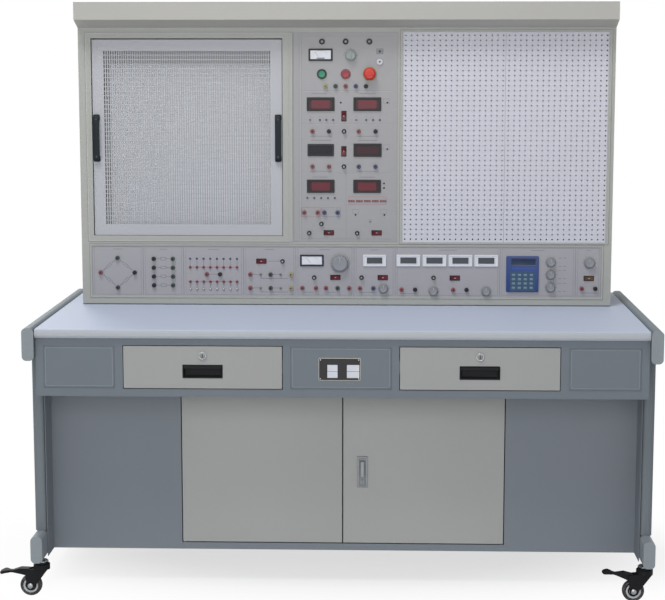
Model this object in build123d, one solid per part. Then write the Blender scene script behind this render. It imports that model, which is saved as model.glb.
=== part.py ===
from build123d import *
import os

os.makedirs("parts", exist_ok=True)

# Electrical training bench on castors. Millimetres, Z up, the user stands at the -Y side.
# The origin is on the floor under the middle of the bench.

# Overall sizes
bench_width = 1700
bench_depth = 810
worktop_height = 755
console_width = 1544
console_depth = 290
console_setback = 492
console_height = 874

# Oval tube of the two end frames
tube_thickness = 32
tube_height = 88
tube_corner = 12
tube_wall = 2
rail_above_worktop = 4
foot_height = 74
foot_clearance = 100
foot_setback = 48
upright_setback = 116

# Worktop
worktop_thickness = 24
worktop_front_gap = 7
worktop_side_gap = 1

# Sheet metal and clearances
sheet = 1.5
frame_sheet = 2
seat_gap = 0.3
panel_gap = 1.5

# Small turned pieces and their holes are drawn with this many flats
fine_sides = 16
coarse_sides = 8

# Drawer unit below the worktop
unit_height = 158
unit_setback = 19
unit_depth = 560
drawer_width = 424
drawer_height = 114
drawer_centre = 369
drawer_drop = 78
drawer_travel = 300
drawer_hold = 170
drawer_front_depth = 16
drawer_gap = 2
runner_height = 34
runner_width = 12
blank_panel_rise = 1.5
side_blank_width = 191
side_blank_centre = 700.5
centre_blank_width = 270
pull_width = 107
pull_height = 36
pull_depth = 15
pull_drop = 11
pull_lip = 8
box_rise = 8
box_drop = 14
lock_radius = 10
lock_barrel_radius = 7.5
lock_rise = 32
lock_cam_length = 30
lock_cam_width = 10
lock_cam_sheet = 1.7
lock_rim = 3

# Lower cabinet
cabinet_setback = 205
cabinet_depth = 570
cabinet_sill = 19
end_sheet_setback = 4
door_width = 448
door_depth = 18
door_head_gap = 13
meeting_gap = 3
door_gap = 2.5
pivot_inset = 5
pivot_radius = 3
pivot_length = 12
latch_width = 30
latch_height = 89
latch_rise = 3
latch_x = 55
latch_centre_height = 325
lever_width = 11
lever_length = 46
lever_drop = 17
lever_thickness = 6
lever_radius = 5
cam_length = 72
cam_width = 14
key_drop = 28
key_cylinder_radius = 5

# Console front
frame_depth = 12
bay_bottom = 186
bay_head_gap = 13
bay_side_post = 19.5
bay_inner_post = 16
bay_border = 17
power_width = 298
power_border = 14
rim_rise = 1
shelf_drop = 8
strip_height = 146
strip_bottom = 27
strip_margin = 29
panel_lap = 3
panel_sheet = 3
header_front = 63
header_face = 50
header_slope = 21
board_recess = 5
board_fold = 12
slot_width = 14
slot_height = 30
slot_columns = 10
slot_rows = 7
field_margin = 51
backing_setback = 26
handle_height = 136
handle_width = 20
handle_reach = 16
handle_bar = 6
gland_x = 650
gland_height = 60
gland_radius = 10

# Transformer behind the dial
coil_setback = 56
coil_radius = 50
coil_bore = 18
coil_depth = 60
core_x = 300
core_width = 120
core_depth = 120
core_height = 100
core_setback = 110
winding_depth = 20
winding_trim = 15

# Castors
wheel_radius = 30
wheel_width = 20
tread_bevel = 4
hub_radius = 12
castor_trail = 30
castor_setback = 84
stem_radius = 6
stem_length = 36
collar_radius = 19
collar_height = 4
kingpin_length = 14
head_radius = 23
head_height = 20
head_step = 4
head_step_height = 6
axle_radius = 4
cheek_radius = 11
bolt_radius = 7
fork_gap = 1.5
fork_sheet = 3
pedal_reach = 78
pedal_tread_radius = 15
pedal_root = 18
pedal_waist_reach = 42
pedal_waist = 14
pedal_pin_radius = 3
pedal_barrel_radius = 6
pedal_pivot = (-38, 69)
pedal_travel = 12

# Controls
terminal_radius = 6.3
terminal_height = 9
socket_radius = 4
socket_height = 5
fuse_radius = 6.5
fuse_height = 10
key_radius = 3.5
key_height = 3
dot_radius = 2.2
dot_height = 1.5
lamp_radius = 8.5
lamp_height = 5
toggle_width = 8
toggle_height = 6
ring_height = 3.5
button_ring_radius = 14.5
button_radius = 11
button_travel = 4
button_margin = 3
stop_ring_radius = 20
stop_head_radius = 18
stop_head_height = 16
stop_stem_radius = 9
stop_travel = 5
stop_margin = 3.5
knob_shaft_radius = 3
knob_tail = 12
knob_sides = 12
knob_taper = 12
knob_lift = 0.7
knob_pointer_width = 2
rocker_length = 30
rocker_width = 15
rocker_bezel = 2
rocker_rise = 2
rocker_tilt = 10
meter_bezel = 4
meter_body_depth = 46
meter_body_inset = 4
window_inset = 6
keypad_width = 94
keypad_height = 105
keypad_rise = 6
keypad_screen_width = 70
keypad_screen_height = 18
key_well = 1.5
key_pitch = 17.2
key_row_pitch = 12.6

# Derived planes and heights
drawer_depth = drawer_travel + drawer_hold
button_height = button_travel + button_margin
stop_stand_off = ring_height + stop_travel + stop_margin
half_width = bench_width / 2
rail_top = worktop_height + rail_above_worktop
rail_bottom = rail_top - tube_height
inner_half = half_width - tube_thickness
rail_middle = half_width - tube_thickness / 2
front = -bench_depth / 2
back = bench_depth / 2
foot_top = foot_clearance + foot_height
worktop_bottom = worktop_height - worktop_thickness
frame_front = front + console_setback
console_back = frame_front + console_depth
console_top = worktop_height + console_height
panel_front = frame_front + frame_sheet
bay_low = worktop_height + bay_bottom
bay_height = console_height - bay_bottom - bay_head_gap - header_face - header_slope
bay_width = console_width / 2 - bay_side_post - bay_inner_post - power_width / 2
bay_middle = power_width / 2 + bay_inner_post + bay_width / 2
field_width = bay_width - 2 * field_margin
field_height = bay_height - 2 * field_margin
bay_centre_height = bay_low + bay_height / 2
strip_centre_height = worktop_height + strip_bottom + strip_height / 2
console_half = console_width / 2
unit_front = front + unit_setback
unit_bottom = worktop_bottom - unit_height
drawer_middle_height = worktop_bottom - drawer_drop
unit_half = inner_half - worktop_side_gap
cabinet_front = front + cabinet_setback
cabinet_bottom = foot_clearance
cabinet_back = cabinet_front + cabinet_depth
door_bottom = cabinet_bottom + cabinet_sill + door_gap
door_top = unit_bottom - door_head_gap
castor_x = half_width - head_radius
castor_y = bench_depth / 2 - castor_setback
header_low = console_top - header_face - header_slope
shelf_top = bay_low - shelf_drop
latch_shaft_height = latch_centre_height + latch_height / 2 - lever_drop


def block(x0, x1, y0, y1, z0, z1):
    return Pos((x0 + x1) / 2, (y0 + y1) / 2, (z0 + z1) / 2) * Box(x1 - x0, y1 - y0, z1 - z0)


def facing_user(x, y, z):
    """Place on an upright face: local x runs along X, local y up, local z towards the user."""
    return Plane(origin=(x, y, z), x_dir=(1, 0, 0), z_dir=(0, -1, 0)).location


def disc(radius, height, sides=0):
    """A short cylinder that stands on its local plane, or a prism with the given flats."""
    outline = RegularPolygon(radius, sides) if sides else Circle(radius)
    return extrude(outline, height)


def hole_through(radius, depth, sides):
    """The cutter for a hole that clears a round or flatted piece of this radius."""
    outline = RegularPolygon(radius + seat_gap, sides, major_radius=False)
    return Pos(0, 0, -depth) * extrude(outline, 2 * depth)


def save(name, *pieces):
    solids = [solid for piece in pieces for solid in piece.solids()]
    export_step(Compound(children=solids), f"parts/{name}.step")


# An oval tube along local z. Rails and feet have closed ends, so they are drawn solid inside.
def oval_tube(length, height, hollow=False):
    outline = RectangleRounded(tube_thickness, height, tube_corner)
    if hollow:
        outline -= Rectangle(tube_thickness - 2 * tube_wall, height - 2 * tube_corner)
    return extrude(outline, length)


def along_y(x, y, z):
    """Local z runs along +Y, local y up."""
    return Plane(origin=(x, y, z), x_dir=(-1, 0, 0), z_dir=(0, 1, 0)).location


# End frames: a top rail, two uprights and a foot rail on each side
rail_pieces = []
upright_pieces = []
foot_pieces = []
foot_length = bench_depth - 2 * foot_setback
upright_y = bench_depth / 2 - upright_setback - tube_height / 2
for side in (-1, 1):
    x = side * rail_middle
    rail_pieces.append(along_y(x, front, rail_top - tube_height / 2) * oval_tube(bench_depth, tube_height))
    foot_start = along_y(x, front + foot_setback, foot_clearance + foot_height / 2)
    foot = foot_start * oval_tube(foot_length, foot_height)
    for end in (-1, 1):
        foot -= Pos(side * castor_x, end * castor_y, foot_clearance) * hole_through(
            stem_radius, stem_length + 1, coarse_sides)
        post = Pos(x, end * upright_y, foot_top) * oval_tube(
            rail_bottom - foot_top, tube_height, hollow=True)
        upright_pieces.append(post)
    foot_pieces.append(foot)
save("side_rails", *rail_pieces)
save("uprights", *upright_pieces)
save("foot_rails", *foot_pieces)


# Worktop with a bullnosed front edge
def make_worktop():
    half = inner_half - worktop_side_gap
    y0 = front + worktop_front_gap
    y1 = back - worktop_front_gap
    slab = block(-half, half, y0, y1, worktop_bottom, worktop_height)
    nose_edges = slab.edges().filter_by(Axis.X).group_by(Axis.Y)[0]
    return fillet(nose_edges, worktop_thickness * 0.4)


save("worktop", make_worktop())


# Drawer unit: front frame with raised blank panels, sides, partitions, bottom and back
def make_drawer_unit():
    y0 = unit_front
    y1 = unit_front + unit_depth
    z0 = unit_bottom
    z1 = worktop_bottom
    half_hole = drawer_width / 2 + drawer_gap
    hole_low = drawer_middle_height - drawer_height / 2 - drawer_gap
    hole_high = drawer_middle_height + drawer_height / 2 + drawer_gap
    inside = y0 + frame_sheet
    pieces = []
    for low, high in ((z0, hole_low), (hole_high, z1)):
        pieces.append(block(-unit_half, unit_half, y0, inside, low, high))
    inner_edge = drawer_centre - half_hole
    outer_edge = drawer_centre + half_hole
    stile_edges = [(-unit_half, -outer_edge), (-inner_edge, inner_edge), (outer_edge, unit_half)]
    for left, right in stile_edges:
        pieces.append(block(left, right, y0, inside, hole_low, hole_high))
    pieces.append(block(-unit_half, unit_half, inside, y1, z0, z0 + sheet))
    pieces.append(block(-unit_half, unit_half, y1 - sheet, y1, z0 + sheet, z1))
    upright_sheets = [-unit_half, unit_half - sheet]
    for side in (-1, 1):
        middle = side * drawer_centre
        upright_sheets.append(middle - half_hole - sheet)
        upright_sheets.append(middle + half_hole)
    for x in upright_sheets:
        pieces.append(block(x, x + sheet, inside, y1 - sheet, z0 + sheet, z1))
    blanks = [(0, centre_blank_width), (-side_blank_centre, side_blank_width),
              (side_blank_centre, side_blank_width)]
    for middle, width in blanks:
        rim = block(middle - width / 2, middle + width / 2, y0 - blank_panel_rise, y0,
                    drawer_middle_height - drawer_height / 2, drawer_middle_height + drawer_height / 2)
        pieces.append(chamfer(rim.faces().sort_by(Axis.Y)[0].edges(), blank_panel_rise * 0.6))
    return pieces


# Drawer runners: fixed C channels on the partitions, open towards the drawer
def make_runners():
    half_hole = drawer_width / 2 + drawer_gap
    y0 = unit_front - frame_sheet + drawer_front_depth + drawer_gap
    pieces = []
    for middle in (-drawer_centre, drawer_centre):
        for side in (-1, 1):
            outer = middle + side * half_hole
            inner = outer - side * runner_width
            x0, x1 = min(outer, inner), max(outer, inner)
            z0 = drawer_middle_height - runner_height / 2
            bar = block(x0, x1, y0, y0 + drawer_depth, z0, z0 + runner_height)
            mouth = block(x0, x1, y0 - 1, y0 + drawer_depth + 1, z0 + sheet, z0 + runner_height - sheet)
            pieces.append(bar - Pos(-side * sheet, 0, 0) * mouth)
    return pieces


def drawer_spans(middle):
    """Outer faces of the drawer's box, between the two runners."""
    half_box = drawer_width / 2 - drawer_gap - runner_width
    return middle - half_box, middle + half_box


# A drawer: thick front with a pull cup let in, a box behind it and the sliding runner bars
def make_drawer(middle):
    x0, x1 = drawer_spans(middle)
    z_mid = drawer_middle_height
    face_y = unit_front - frame_sheet
    behind = face_y + drawer_front_depth
    half = drawer_width / 2
    face = block(middle - half, middle + half, face_y, behind, z_mid - drawer_height / 2,
                 z_mid + drawer_height / 2)
    mouth = facing_user(middle, face_y, z_mid - pull_drop) * Pos(0, 0, -pull_depth)
    cup_body = extrude(Rectangle(pull_width, pull_height), pull_depth)
    cup_inner = Pos(0, 0, sheet) * extrude(
        Rectangle(pull_width - 4 * sheet, pull_height - 4 * sheet), pull_depth)
    lip_height = pull_height / 2 - 2 * sheet - pull_lip / 2
    lip = Pos(0, lip_height, pull_depth - sheet) * Box(pull_width - 4 * sheet, pull_lip, 2 * sheet)
    lock_hole = facing_user(middle, behind, z_mid + lock_rise) * hole_through(
        lock_barrel_radius, drawer_front_depth + 1, fine_sides)
    pieces = [face - mouth * cup_body - lock_hole, mouth * (cup_body - cup_inner + lip)]
    low = z_mid - drawer_height / 2 + box_rise
    high = z_mid + drawer_height / 2 - box_drop
    y1 = behind + drawer_depth
    pieces.append(block(x0, x1, behind, y1, low, low + sheet))
    pieces.append(block(x0, x0 + sheet, behind, y1, low + sheet, high))
    pieces.append(block(x1 - sheet, x1, behind, y1, low + sheet, high))
    pieces.append(block(x0 + sheet, x1 - sheet, y1 - sheet, y1, low + sheet, high))
    bar_reach = runner_width + 2 * drawer_gap - sheet - seat_gap
    bar_half = runner_height / 2 - sheet - seat_gap
    for x, side in ((x0, -1), (x1, 1)):
        near, far = sorted((x, x + side * bar_reach))
        pieces.append(block(near, far, behind + drawer_gap, y1 - sheet, z_mid - bar_half, z_mid + bar_half))
    return pieces


# A cam lock in the drawer front: face, barrel and the cam that turns up behind the frame
def make_drawer_lock(middle):
    face_y = unit_front - frame_sheet
    z = drawer_middle_height + lock_rise
    cam_front = face_y + drawer_front_depth + seat_gap
    cam_back = cam_front + lock_cam_sheet
    rim = facing_user(middle, face_y - seat_gap, z) * disc(lock_radius, lock_rim, fine_sides)
    key_slot = facing_user(middle, face_y - seat_gap - lock_rim, z) * Box(sheet, lock_radius, sheet)
    barrel = facing_user(middle, cam_back, z) * disc(
        lock_barrel_radius, cam_back - face_y + seat_gap, fine_sides)
    cam = block(middle - lock_cam_width / 2, middle + lock_cam_length, cam_front, cam_back,
                z - lock_cam_width / 2, z + lock_cam_width / 2)
    return rim - key_slot + barrel + cam


save("drawer_unit", *make_drawer_unit())
save("drawer_runners", *make_runners())
for drawer_name, drawer_side in (("left", -1), ("right", 1)):
    save(f"{drawer_name}_drawer", *make_drawer(drawer_side * drawer_centre))
    save(f"{drawer_name}_drawer_lock", make_drawer_lock(drawer_side * drawer_centre))


# Lower cabinet: sheet carcass between the end frames, fixed front panels, sill and pivot pins
def make_cabinet():
    half = unit_half
    inner = half - sheet
    y0, y1 = cabinet_front, cabinet_back
    z0, z1 = cabinet_bottom, unit_bottom
    end_sheet_front = end_sheet_setback - upright_y - tube_height / 2
    door_edge = meeting_gap / 2 + door_width + door_gap
    sill_top = z0 + cabinet_sill
    head_low = z1 - door_head_gap + door_gap
    pieces = [block(-inner, inner, y0, y1, z0, z0 + frame_sheet)]
    pieces.append(block(-inner, inner, y0, y0 + door_depth, z0 + frame_sheet, sill_top))
    pieces.append(block(-inner, inner, y0, y0 + door_depth, head_low, z1))
    pieces.append(block(-inner, inner, y0 + door_depth, y1, z1 - sheet, z1))
    pieces.append(block(-inner, inner, y1 - sheet, y1, z0 + frame_sheet, z1 - sheet))
    for side in (-1, 1):
        wall = sorted((side * half, side * inner))
        pieces.append(block(*wall, end_sheet_front, y1, z0, z1))
        panel = sorted((side * inner, side * door_edge))
        pieces.append(block(*panel, y0, y0 + frame_sheet, sill_top, head_low))
        post = sorted((side * door_edge, side * (door_edge + door_depth)))
        pieces.append(block(*post, y0 + frame_sheet, y0 + door_depth, sill_top, head_low))
        pin_x = side * (meeting_gap / 2 + door_width - pivot_inset)
        for z in (sill_top, head_low - pivot_length):
            pieces.append(Pos(pin_x, y0 + pivot_inset, z) * disc(pivot_radius, pivot_length, fine_sides))
    return pieces


# A door: a pan of folded sheet that turns on pins in its lower and upper edge
def make_door(side):
    near = meeting_gap / 2
    far = near + door_width
    x0, x1 = sorted((side * near, side * far))
    y0 = cabinet_front
    slab = block(x0, x1, y0, y0 + door_depth, door_bottom, door_top)
    hollow = block(x0 + sheet, x1 - sheet, y0 + sheet, y0 + door_depth + 1, door_bottom + sheet,
                   door_top - sheet)
    door = slab - hollow
    pin_place = Pos(side * (far - pivot_inset), y0 + pivot_inset, (door_bottom + door_top) / 2)
    door -= pin_place * hole_through(pivot_radius, door_top - door_bottom, fine_sides)
    if side < 0:
        return [door]
    shaft_hole = facing_user(latch_x, y0, latch_shaft_height) * hole_through(
        lever_radius, latch_rise + sheet, coarse_sides)
    plate_place = facing_user(latch_x, y0, latch_centre_height)
    plate = plate_place * Pos(0, 0, latch_rise / 2) * Box(latch_width, latch_height, latch_rise)
    plate = chamfer(plate.faces().sort_by(Axis.Y)[0].edges(), latch_rise / 3)
    key_place = facing_user(latch_x, y0 - latch_rise, latch_centre_height - key_drop)
    key = key_place * disc(key_cylinder_radius, latch_rise / 2, fine_sides)
    return [door - shaft_hole, plate - shaft_hole, key]


# The latch lever hangs straight down in front of its plate; its cam lies behind the door pan
def make_lever():
    place = facing_user(latch_x, cabinet_front - latch_rise - seat_gap, latch_shaft_height)
    grip_centre = Pos(0, (lever_width - lever_length) / 2, lever_thickness / 2)
    grip = place * grip_centre * Box(lever_width, lever_length, lever_thickness)
    grip = chamfer(grip.faces().sort_by(Axis.Y)[0].edges(), lever_thickness / 4)
    shaft_length = latch_rise + door_depth + 2 * frame_sheet
    shaft = place * Pos(0, 0, -shaft_length) * disc(lever_radius, shaft_length, coarse_sides)
    cam_centre = Pos(0, (cam_width - cam_length) / 2, frame_sheet / 2 - shaft_length)
    cam = place * cam_centre * Box(cam_width, cam_length, frame_sheet)
    return grip + shaft + cam


save("lower_cabinet", *make_cabinet())
save("left_door", *make_door(-1))
save("right_door", *make_door(1))
save("door_latch_lever", make_lever())


# Console shell: sides, back, bottom, shelf, partitions behind the bays, the pale sheet behind the
# slotted board and a cable gland at the back
def make_console_shell():
    half = console_half
    y0 = frame_front + frame_sheet
    y1 = console_back
    z0 = worktop_height
    z1 = header_low
    pieces = [block(-half, half, y0, y1 - sheet, z0, z0 + sheet)]
    pieces.append(block(-half, half, y1 - sheet, y1, z0, z1))
    divider = bay_middle - bay_width / 2 - bay_border / 2
    for side in (-1, 1):
        wall = sorted((side * half, side * (half - sheet)))
        pieces.append(block(*wall, y0, y1 - sheet, z0 + sheet, z1))
        pieces.append(block(side * divider - sheet / 2, side * divider + sheet / 2, y0, y1 - sheet,
                            shelf_top, z1))
    pieces.append(block(-half + sheet, half - sheet, y0, y1 - sheet, shelf_top - sheet, shelf_top))
    backing_y = frame_front + board_recess + board_fold + backing_setback
    pieces.append(block(-half + sheet, -divider - sheet / 2, backing_y, backing_y + sheet, shelf_top, z1))
    gland_place = Plane(origin=(gland_x, y1, z0 + gland_height), z_dir=(0, 1, 0)).location
    nut = disc(gland_radius * 1.3, gland_radius / 2, 6)
    neck = disc(gland_radius, gland_radius * 2, coarse_sides)
    cable_way = hole_through(gland_radius / 2, gland_radius * 3, coarse_sides)
    pieces.append(gland_place * (nut + neck - cable_way))
    return pieces


# Console front frame: a sheet with four openings and the raised border of the left bay
def make_console_frame():
    y0 = frame_front
    y1 = frame_front + frame_sheet
    half = console_half
    strip_half = module_edges[-1]
    plate = block(-half, half, y0, y1, worktop_height, header_low)
    bay_high = bay_low + bay_height
    for side in (-1, 1):
        middle = side * bay_middle
        plate -= block(middle - bay_width / 2, middle + bay_width / 2, y0 - 1, y1 + 1, bay_low, bay_high)
    plate -= block(-power_width / 2 - panel_gap, power_width / 2 + panel_gap, y0 - 1, y1 + 1,
                   bay_low, bay_high)
    strip_low = worktop_height + strip_bottom
    plate -= block(-strip_half, strip_half, y0 - 1, y1 + 1, strip_low, strip_low + strip_height)
    border = block(-bay_middle - bay_width / 2, -bay_middle + bay_width / 2, y0 - 1,
                   y0 + frame_depth, bay_low, bay_high)
    inner = bay_width / 2 - bay_border
    border -= block(-bay_middle - inner, -bay_middle + inner, y0 - 2, y0 + frame_depth + 1,
                    bay_low + bay_border, bay_high - bay_border)
    return [plate, border]


# Header: folded sheet over the full width, its face leaning out over the bays
def make_header():
    y_out = frame_front - header_front
    z_top = console_top
    z_face = console_top - header_face
    outline = Polyline(
        (console_back, z_top), (y_out, z_top), (y_out, z_face), (frame_front, header_low),
        (frame_front + 14, header_low), (frame_front + 14, header_low + sheet),
        (frame_front + sheet, header_low + sheet), (y_out + sheet, z_face + sheet),
        (y_out + sheet, z_top - sheet), (console_back, z_top - sheet), close=True)
    section = make_face(outline)
    lengthways = Plane(origin=(-console_half, 0, 0), x_dir=(0, 1, 0), z_dir=(1, 0, 0)).location
    skin = lengthways * extrude(section, console_width)
    end_outline = Polyline(
        (console_back, header_low), (console_back, z_top - sheet), (y_out + sheet, z_top - sheet),
        (y_out + sheet, z_face + sheet), (frame_front + sheet, header_low + sheet),
        (frame_front + 14, header_low + sheet), (frame_front + 14, header_low), close=True)
    ends = []
    for x in (-console_half, console_half - sheet):
        place = Plane(origin=(x, 0, 0), x_dir=(0, 1, 0), z_dir=(1, 0, 0)).location
        ends.append(place * extrude(make_face(end_outline), sheet))
    rear = block(-console_half + sheet, console_half - sheet, console_back - sheet, console_back,
                 header_low, z_top - sheet)
    return [skin, *ends, rear]


# Perforated board in the left bay: folded edges, a field of slots and two bar handles.
# The slots are drawn larger and fewer than the real ones, in the same proportion.
def make_mesh_board():
    half_x = bay_width / 2 - bay_border - panel_gap
    low = bay_low + bay_border + seat_gap
    high = bay_low + bay_height - bay_border - 2 * panel_gap
    y0 = frame_front + board_recess
    x0, x1 = -bay_middle - half_x, -bay_middle + half_x
    pan = block(x0, x1, y0, y0 + board_fold, low, high)
    pan -= block(x0 + sheet, x1 - sheet, y0 + sheet, y0 + board_fold + 1, low + sheet, high - sheet)
    slots = GridLocations(field_width / slot_columns, field_height / slot_rows, slot_columns, slot_rows)
    holes = Sketch(children=[slot * Rectangle(slot_width, slot_height) for slot in slots])
    pan -= facing_user(-bay_middle, y0 + 2 * sheet, bay_centre_height) * extrude(holes, 3 * sheet)
    pieces = [pan]
    for side in (-1, 1):
        x = -bay_middle + side * (half_x - handle_width / 2 - sheet)
        bow = block(x - handle_width / 4, x + handle_width / 4, y0 - handle_reach, y0,
                    bay_centre_height - handle_height / 2, bay_centre_height + handle_height / 2)
        finger_half = handle_height / 2 - handle_bar
        bow -= block(x - handle_width, x + handle_width, y0 - handle_reach + handle_bar, y0 + 1,
                     bay_centre_height - finger_half, bay_centre_height + finger_half)
        ends = bow.edges().filter_by(Axis.X).group_by(Axis.Y)[0]
        pieces.append(chamfer(ends, handle_bar * 0.6))
    return pieces


def make_pegboards():
    outer = bay_width / 2 + panel_lap
    pieces = []
    for x in (bay_middle - outer, bay_middle):
        pieces.append(block(x + seat_gap, x + outer - seat_gap, panel_front, panel_front + panel_sheet,
                            bay_low - panel_lap, bay_low + bay_height + panel_lap))
    return pieces


# Layout of the power panel, measured from its middle when the panel was this high: x, height
layout_height = 604
height_spread = bay_height / layout_height


def power_spot(x, z):
    return x, bay_centre_height + z * height_spread


power_terminals = [(x, 148.5) for x in (-58.5, -29.25, 0, 29.25, 58.5)]
power_terminals += [(x, 19) for x in (-96, -48, 38, 86.5)]
power_terminals += [(x, -82.5) for x in (-96, -48, 38, 86.5)]
power_terminals += [(x, -216) for x in (-120, -81, -61.5, -23)]
power_fuses = [(-4.5, 19), (-4.5, -82.5), (-70, -249), (-105.5, -276), (34, -276)]
power_keys = [(x, 52) for x in (-103, -74.5, -55.5, -36, 30.5, 59.5, 79, 98.5)]
power_keys += [(x, -173.5) for x in (-111, -91, -71, -51, -31)]
power_keys += [(x, -182) for x in (17, 40, 63, 86, 109)]
power_dots = [(-14, 101.5), (120.5, 101.5), (120.5, -32), (111.5, -131), (111.5, -144),
              (29, -222.5), (113, -222.5)]
power_lamps = [(-68, 275.5), (0, 275.5), (68, 275.5)]
power_meters = [(-72, 238, 69, 35), (-72, 97, 80, 39), (62.5, 97, 80, 39), (-72, -35, 76, 35),
                (63.5, -35, 81, 38), (-72, -139.5, 80, 38), (62.5, -139.5, 80, 38)]
start_place = (-68.5, 183)
halt_place = (0, 183)
stop_place = (69, 184)
power_toggle = (71, -240)
key_switch_place = (98, 218)
bell_push_place = (98, 247.5)

# Layout of the nine modules of the strip, from the left: width of each before they share the strip
module_widths = [150, 119, 176, 153, 170, 120, 305, 219, 74]
width_spread = (console_width - 2 * strip_margin) / sum(module_widths)
module_edges = [strip_margin - console_half]
for module_width in module_widths:
    module_edges.append(module_edges[-1] + module_width * width_spread)
module_middles = [(a + b) / 2 for a, b in zip(module_edges, module_edges[1:])]


def strip_spot(module, x, z):
    return module_middles[module] + x * width_spread, strip_centre_height + z


socket_pitch = 19.6
socket_columns = [(i - 3.5) * socket_pitch for i in range(8)]

# Module number, x from its middle, height from the strip's middle
strip_terminals = [(0, 0, 37), (0, -50, -6), (0, 50, -6), (0, 0, -50)]
strip_terminals += [(1, x, 35 - 26 * row) for row in range(4) for x in (-28, 28)]
strip_terminals += [(2, -20, -10), (2, 19, -10)]
strip_terminals += [(3, x, z) for z in (-10, -50) for x in (-57, 2.5, 62)]
strip_terminals += [(4, x, -49.5) for x in (-66, -26, 3, 37, 71)]
strip_terminals += [(5, -42.5, -49.5), (5, -3.5, -49.5)]
strip_terminals += [(6, x, -53) for x in (-133.5, -94, 17, 56)]
strip_terminals += [(8, -18, -48), (8, 21, -48)]
strip_sockets = [(2, x, z) for z in (10.5, -32) for x in socket_columns]
strip_sockets += [(3, x, z) for z in (-10, -50) for x in (-27, 31.5)]
strip_fuses = [(3, 37.5, 29), (4, -31.5, -18.5), (5, -38, -18), (6, -40.5, -18)]
strip_meters = [(4, -38, 31.5, 69, 34), (5, 0, 32, 67, 34)]
strip_meters += [(6, x, 32.5, 69, 34) for x in (-114, -38, 37.5, 112.5)]
strip_dots = [(2, x, 35.5) for x in socket_columns]
strip_toggles = [(2, x, -54) for x in socket_columns]
strip_keypads = [(7, -44.5, -6)]

# Rockers: name, x, height on the whole front, and whether it stands upright
rockers = [("power_rocker_upper", *power_spot(-5, 63), True),
           ("power_rocker_middle", *power_spot(-5, -38.5), True),
           ("power_rocker_left", *power_spot(-48.5, -275), False),
           ("power_rocker_right", *power_spot(90.5, -275), False)]
power_rocker_count = len(rockers)
for module, offset, height, rocker_name in (
        (3, -24.5, 29, "relay_rocker"), (4, 30.5, -18, "transformer_rocker"),
        (5, 24, -18, "ammeter_rocker"), (6, 21.5, -18.5, "supply_rocker"), (8, 2, -18, "tacho_rocker")):
    rockers.append((rocker_name, *strip_spot(module, offset, height), False))

# Knobs: name, x, height, radius, height of the cap
knobs = [("selector_knob", *power_spot(14.5, 236), 17, 15)]
for module, offset, height, radius, rise, knob_name in (
        (4, 44, 24, 28, 20, "transformer_dial"), (5, 26, -50, 15, 14, "ammeter_knob"),
        (6, -40.5, -57, 14.5, 14, "supply_knob_left"), (6, 112.5, -57, 14.5, 14, "supply_knob_right"),
        (7, 37.5, 29, 15, 14, "generator_knob_upper"), (7, 37.5, -7.5, 15, 14, "generator_knob_middle"),
        (7, 37.5, -45, 15, 14, "generator_knob_lower"), (8, 3, 27.5, 17, 15, "tacho_knob")):
    knobs.append((knob_name, *strip_spot(module, offset, height), radius, rise))


def panel_place(x, z):
    return facing_user(x, panel_front, z)


def rocker_outline(upright, trim):
    long_side, short_side = rocker_length - 2 * trim, rocker_width - 2 * trim
    if upright:
        return Rectangle(short_side, long_side)
    return Rectangle(long_side, short_side)


def meter_cut(x, z, width, height):
    trim = 2 * (meter_body_inset - seat_gap)
    body = Rectangle(width - trim, height - trim)
    return panel_place(x, z) * Pos(0, 0, -2 * panel_sheet) * extrude(body, 3 * panel_sheet)


def rocker_cut(x, z, upright):
    return panel_place(x, z) * Pos(0, 0, -2 * panel_sheet) * extrude(
        rocker_outline(upright, rocker_bezel), 3 * panel_sheet)


def knob_hole(x, z):
    return panel_place(x, z) * hole_through(knob_shaft_radius, 2 * panel_sheet, coarse_sides)


# Power panel: a bordered plate in the middle bay, pierced for everything that passes through it
def make_power_panel():
    half = power_width / 2
    low = bay_low + panel_gap
    high = bay_low + bay_height - panel_gap
    plate = block(-half - panel_gap - panel_lap, half + panel_gap + panel_lap, panel_front,
                  panel_front + panel_sheet, bay_low - panel_lap, bay_low + bay_height + panel_lap)
    for x, z, width, height in power_meters:
        plate -= meter_cut(*power_spot(x, z), width, height)
    for name, x, z, upright in rockers[:power_rocker_count]:
        plate -= rocker_cut(x, z, upright)
    plate -= knob_hole(*knobs[0][1:3])
    for place, radius in ((start_place, button_radius), (halt_place, button_radius),
                          (stop_place, stop_stem_radius)):
        plate -= panel_place(*power_spot(*place)) * hole_through(radius, 2 * panel_sheet, fine_sides)
    rim = block(-half, half, panel_front - rim_rise, panel_front, low, high)
    rim -= block(-half + power_border, half - power_border, panel_front - 2 * rim_rise, panel_front + 1,
                 low + power_border / 2, high - power_border / 2)
    return [plate, rim]


# Module panel: nine plates side by side behind the opening of the strip
def make_module_panel():
    low = worktop_height + strip_bottom - panel_lap
    high = worktop_height + strip_bottom + strip_height + panel_lap
    pieces = []
    for number, (x0, x1) in enumerate(zip(module_edges, module_edges[1:])):
        plate = block(x0 + seat_gap, x1 - seat_gap, panel_front, panel_front + panel_sheet, low, high)
        for module, x, z, width, height in strip_meters:
            if module == number:
                plate -= meter_cut(*strip_spot(module, x, z), width, height)
        for name, x, z, upright in rockers[power_rocker_count:]:
            if x0 < x < x1:
                plate -= rocker_cut(x, z, upright)
        for name, x, z, radius, rise in knobs[1:]:
            if x0 < x < x1:
                plate -= knob_hole(x, z)
        pieces.append(plate)
    return pieces


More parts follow.
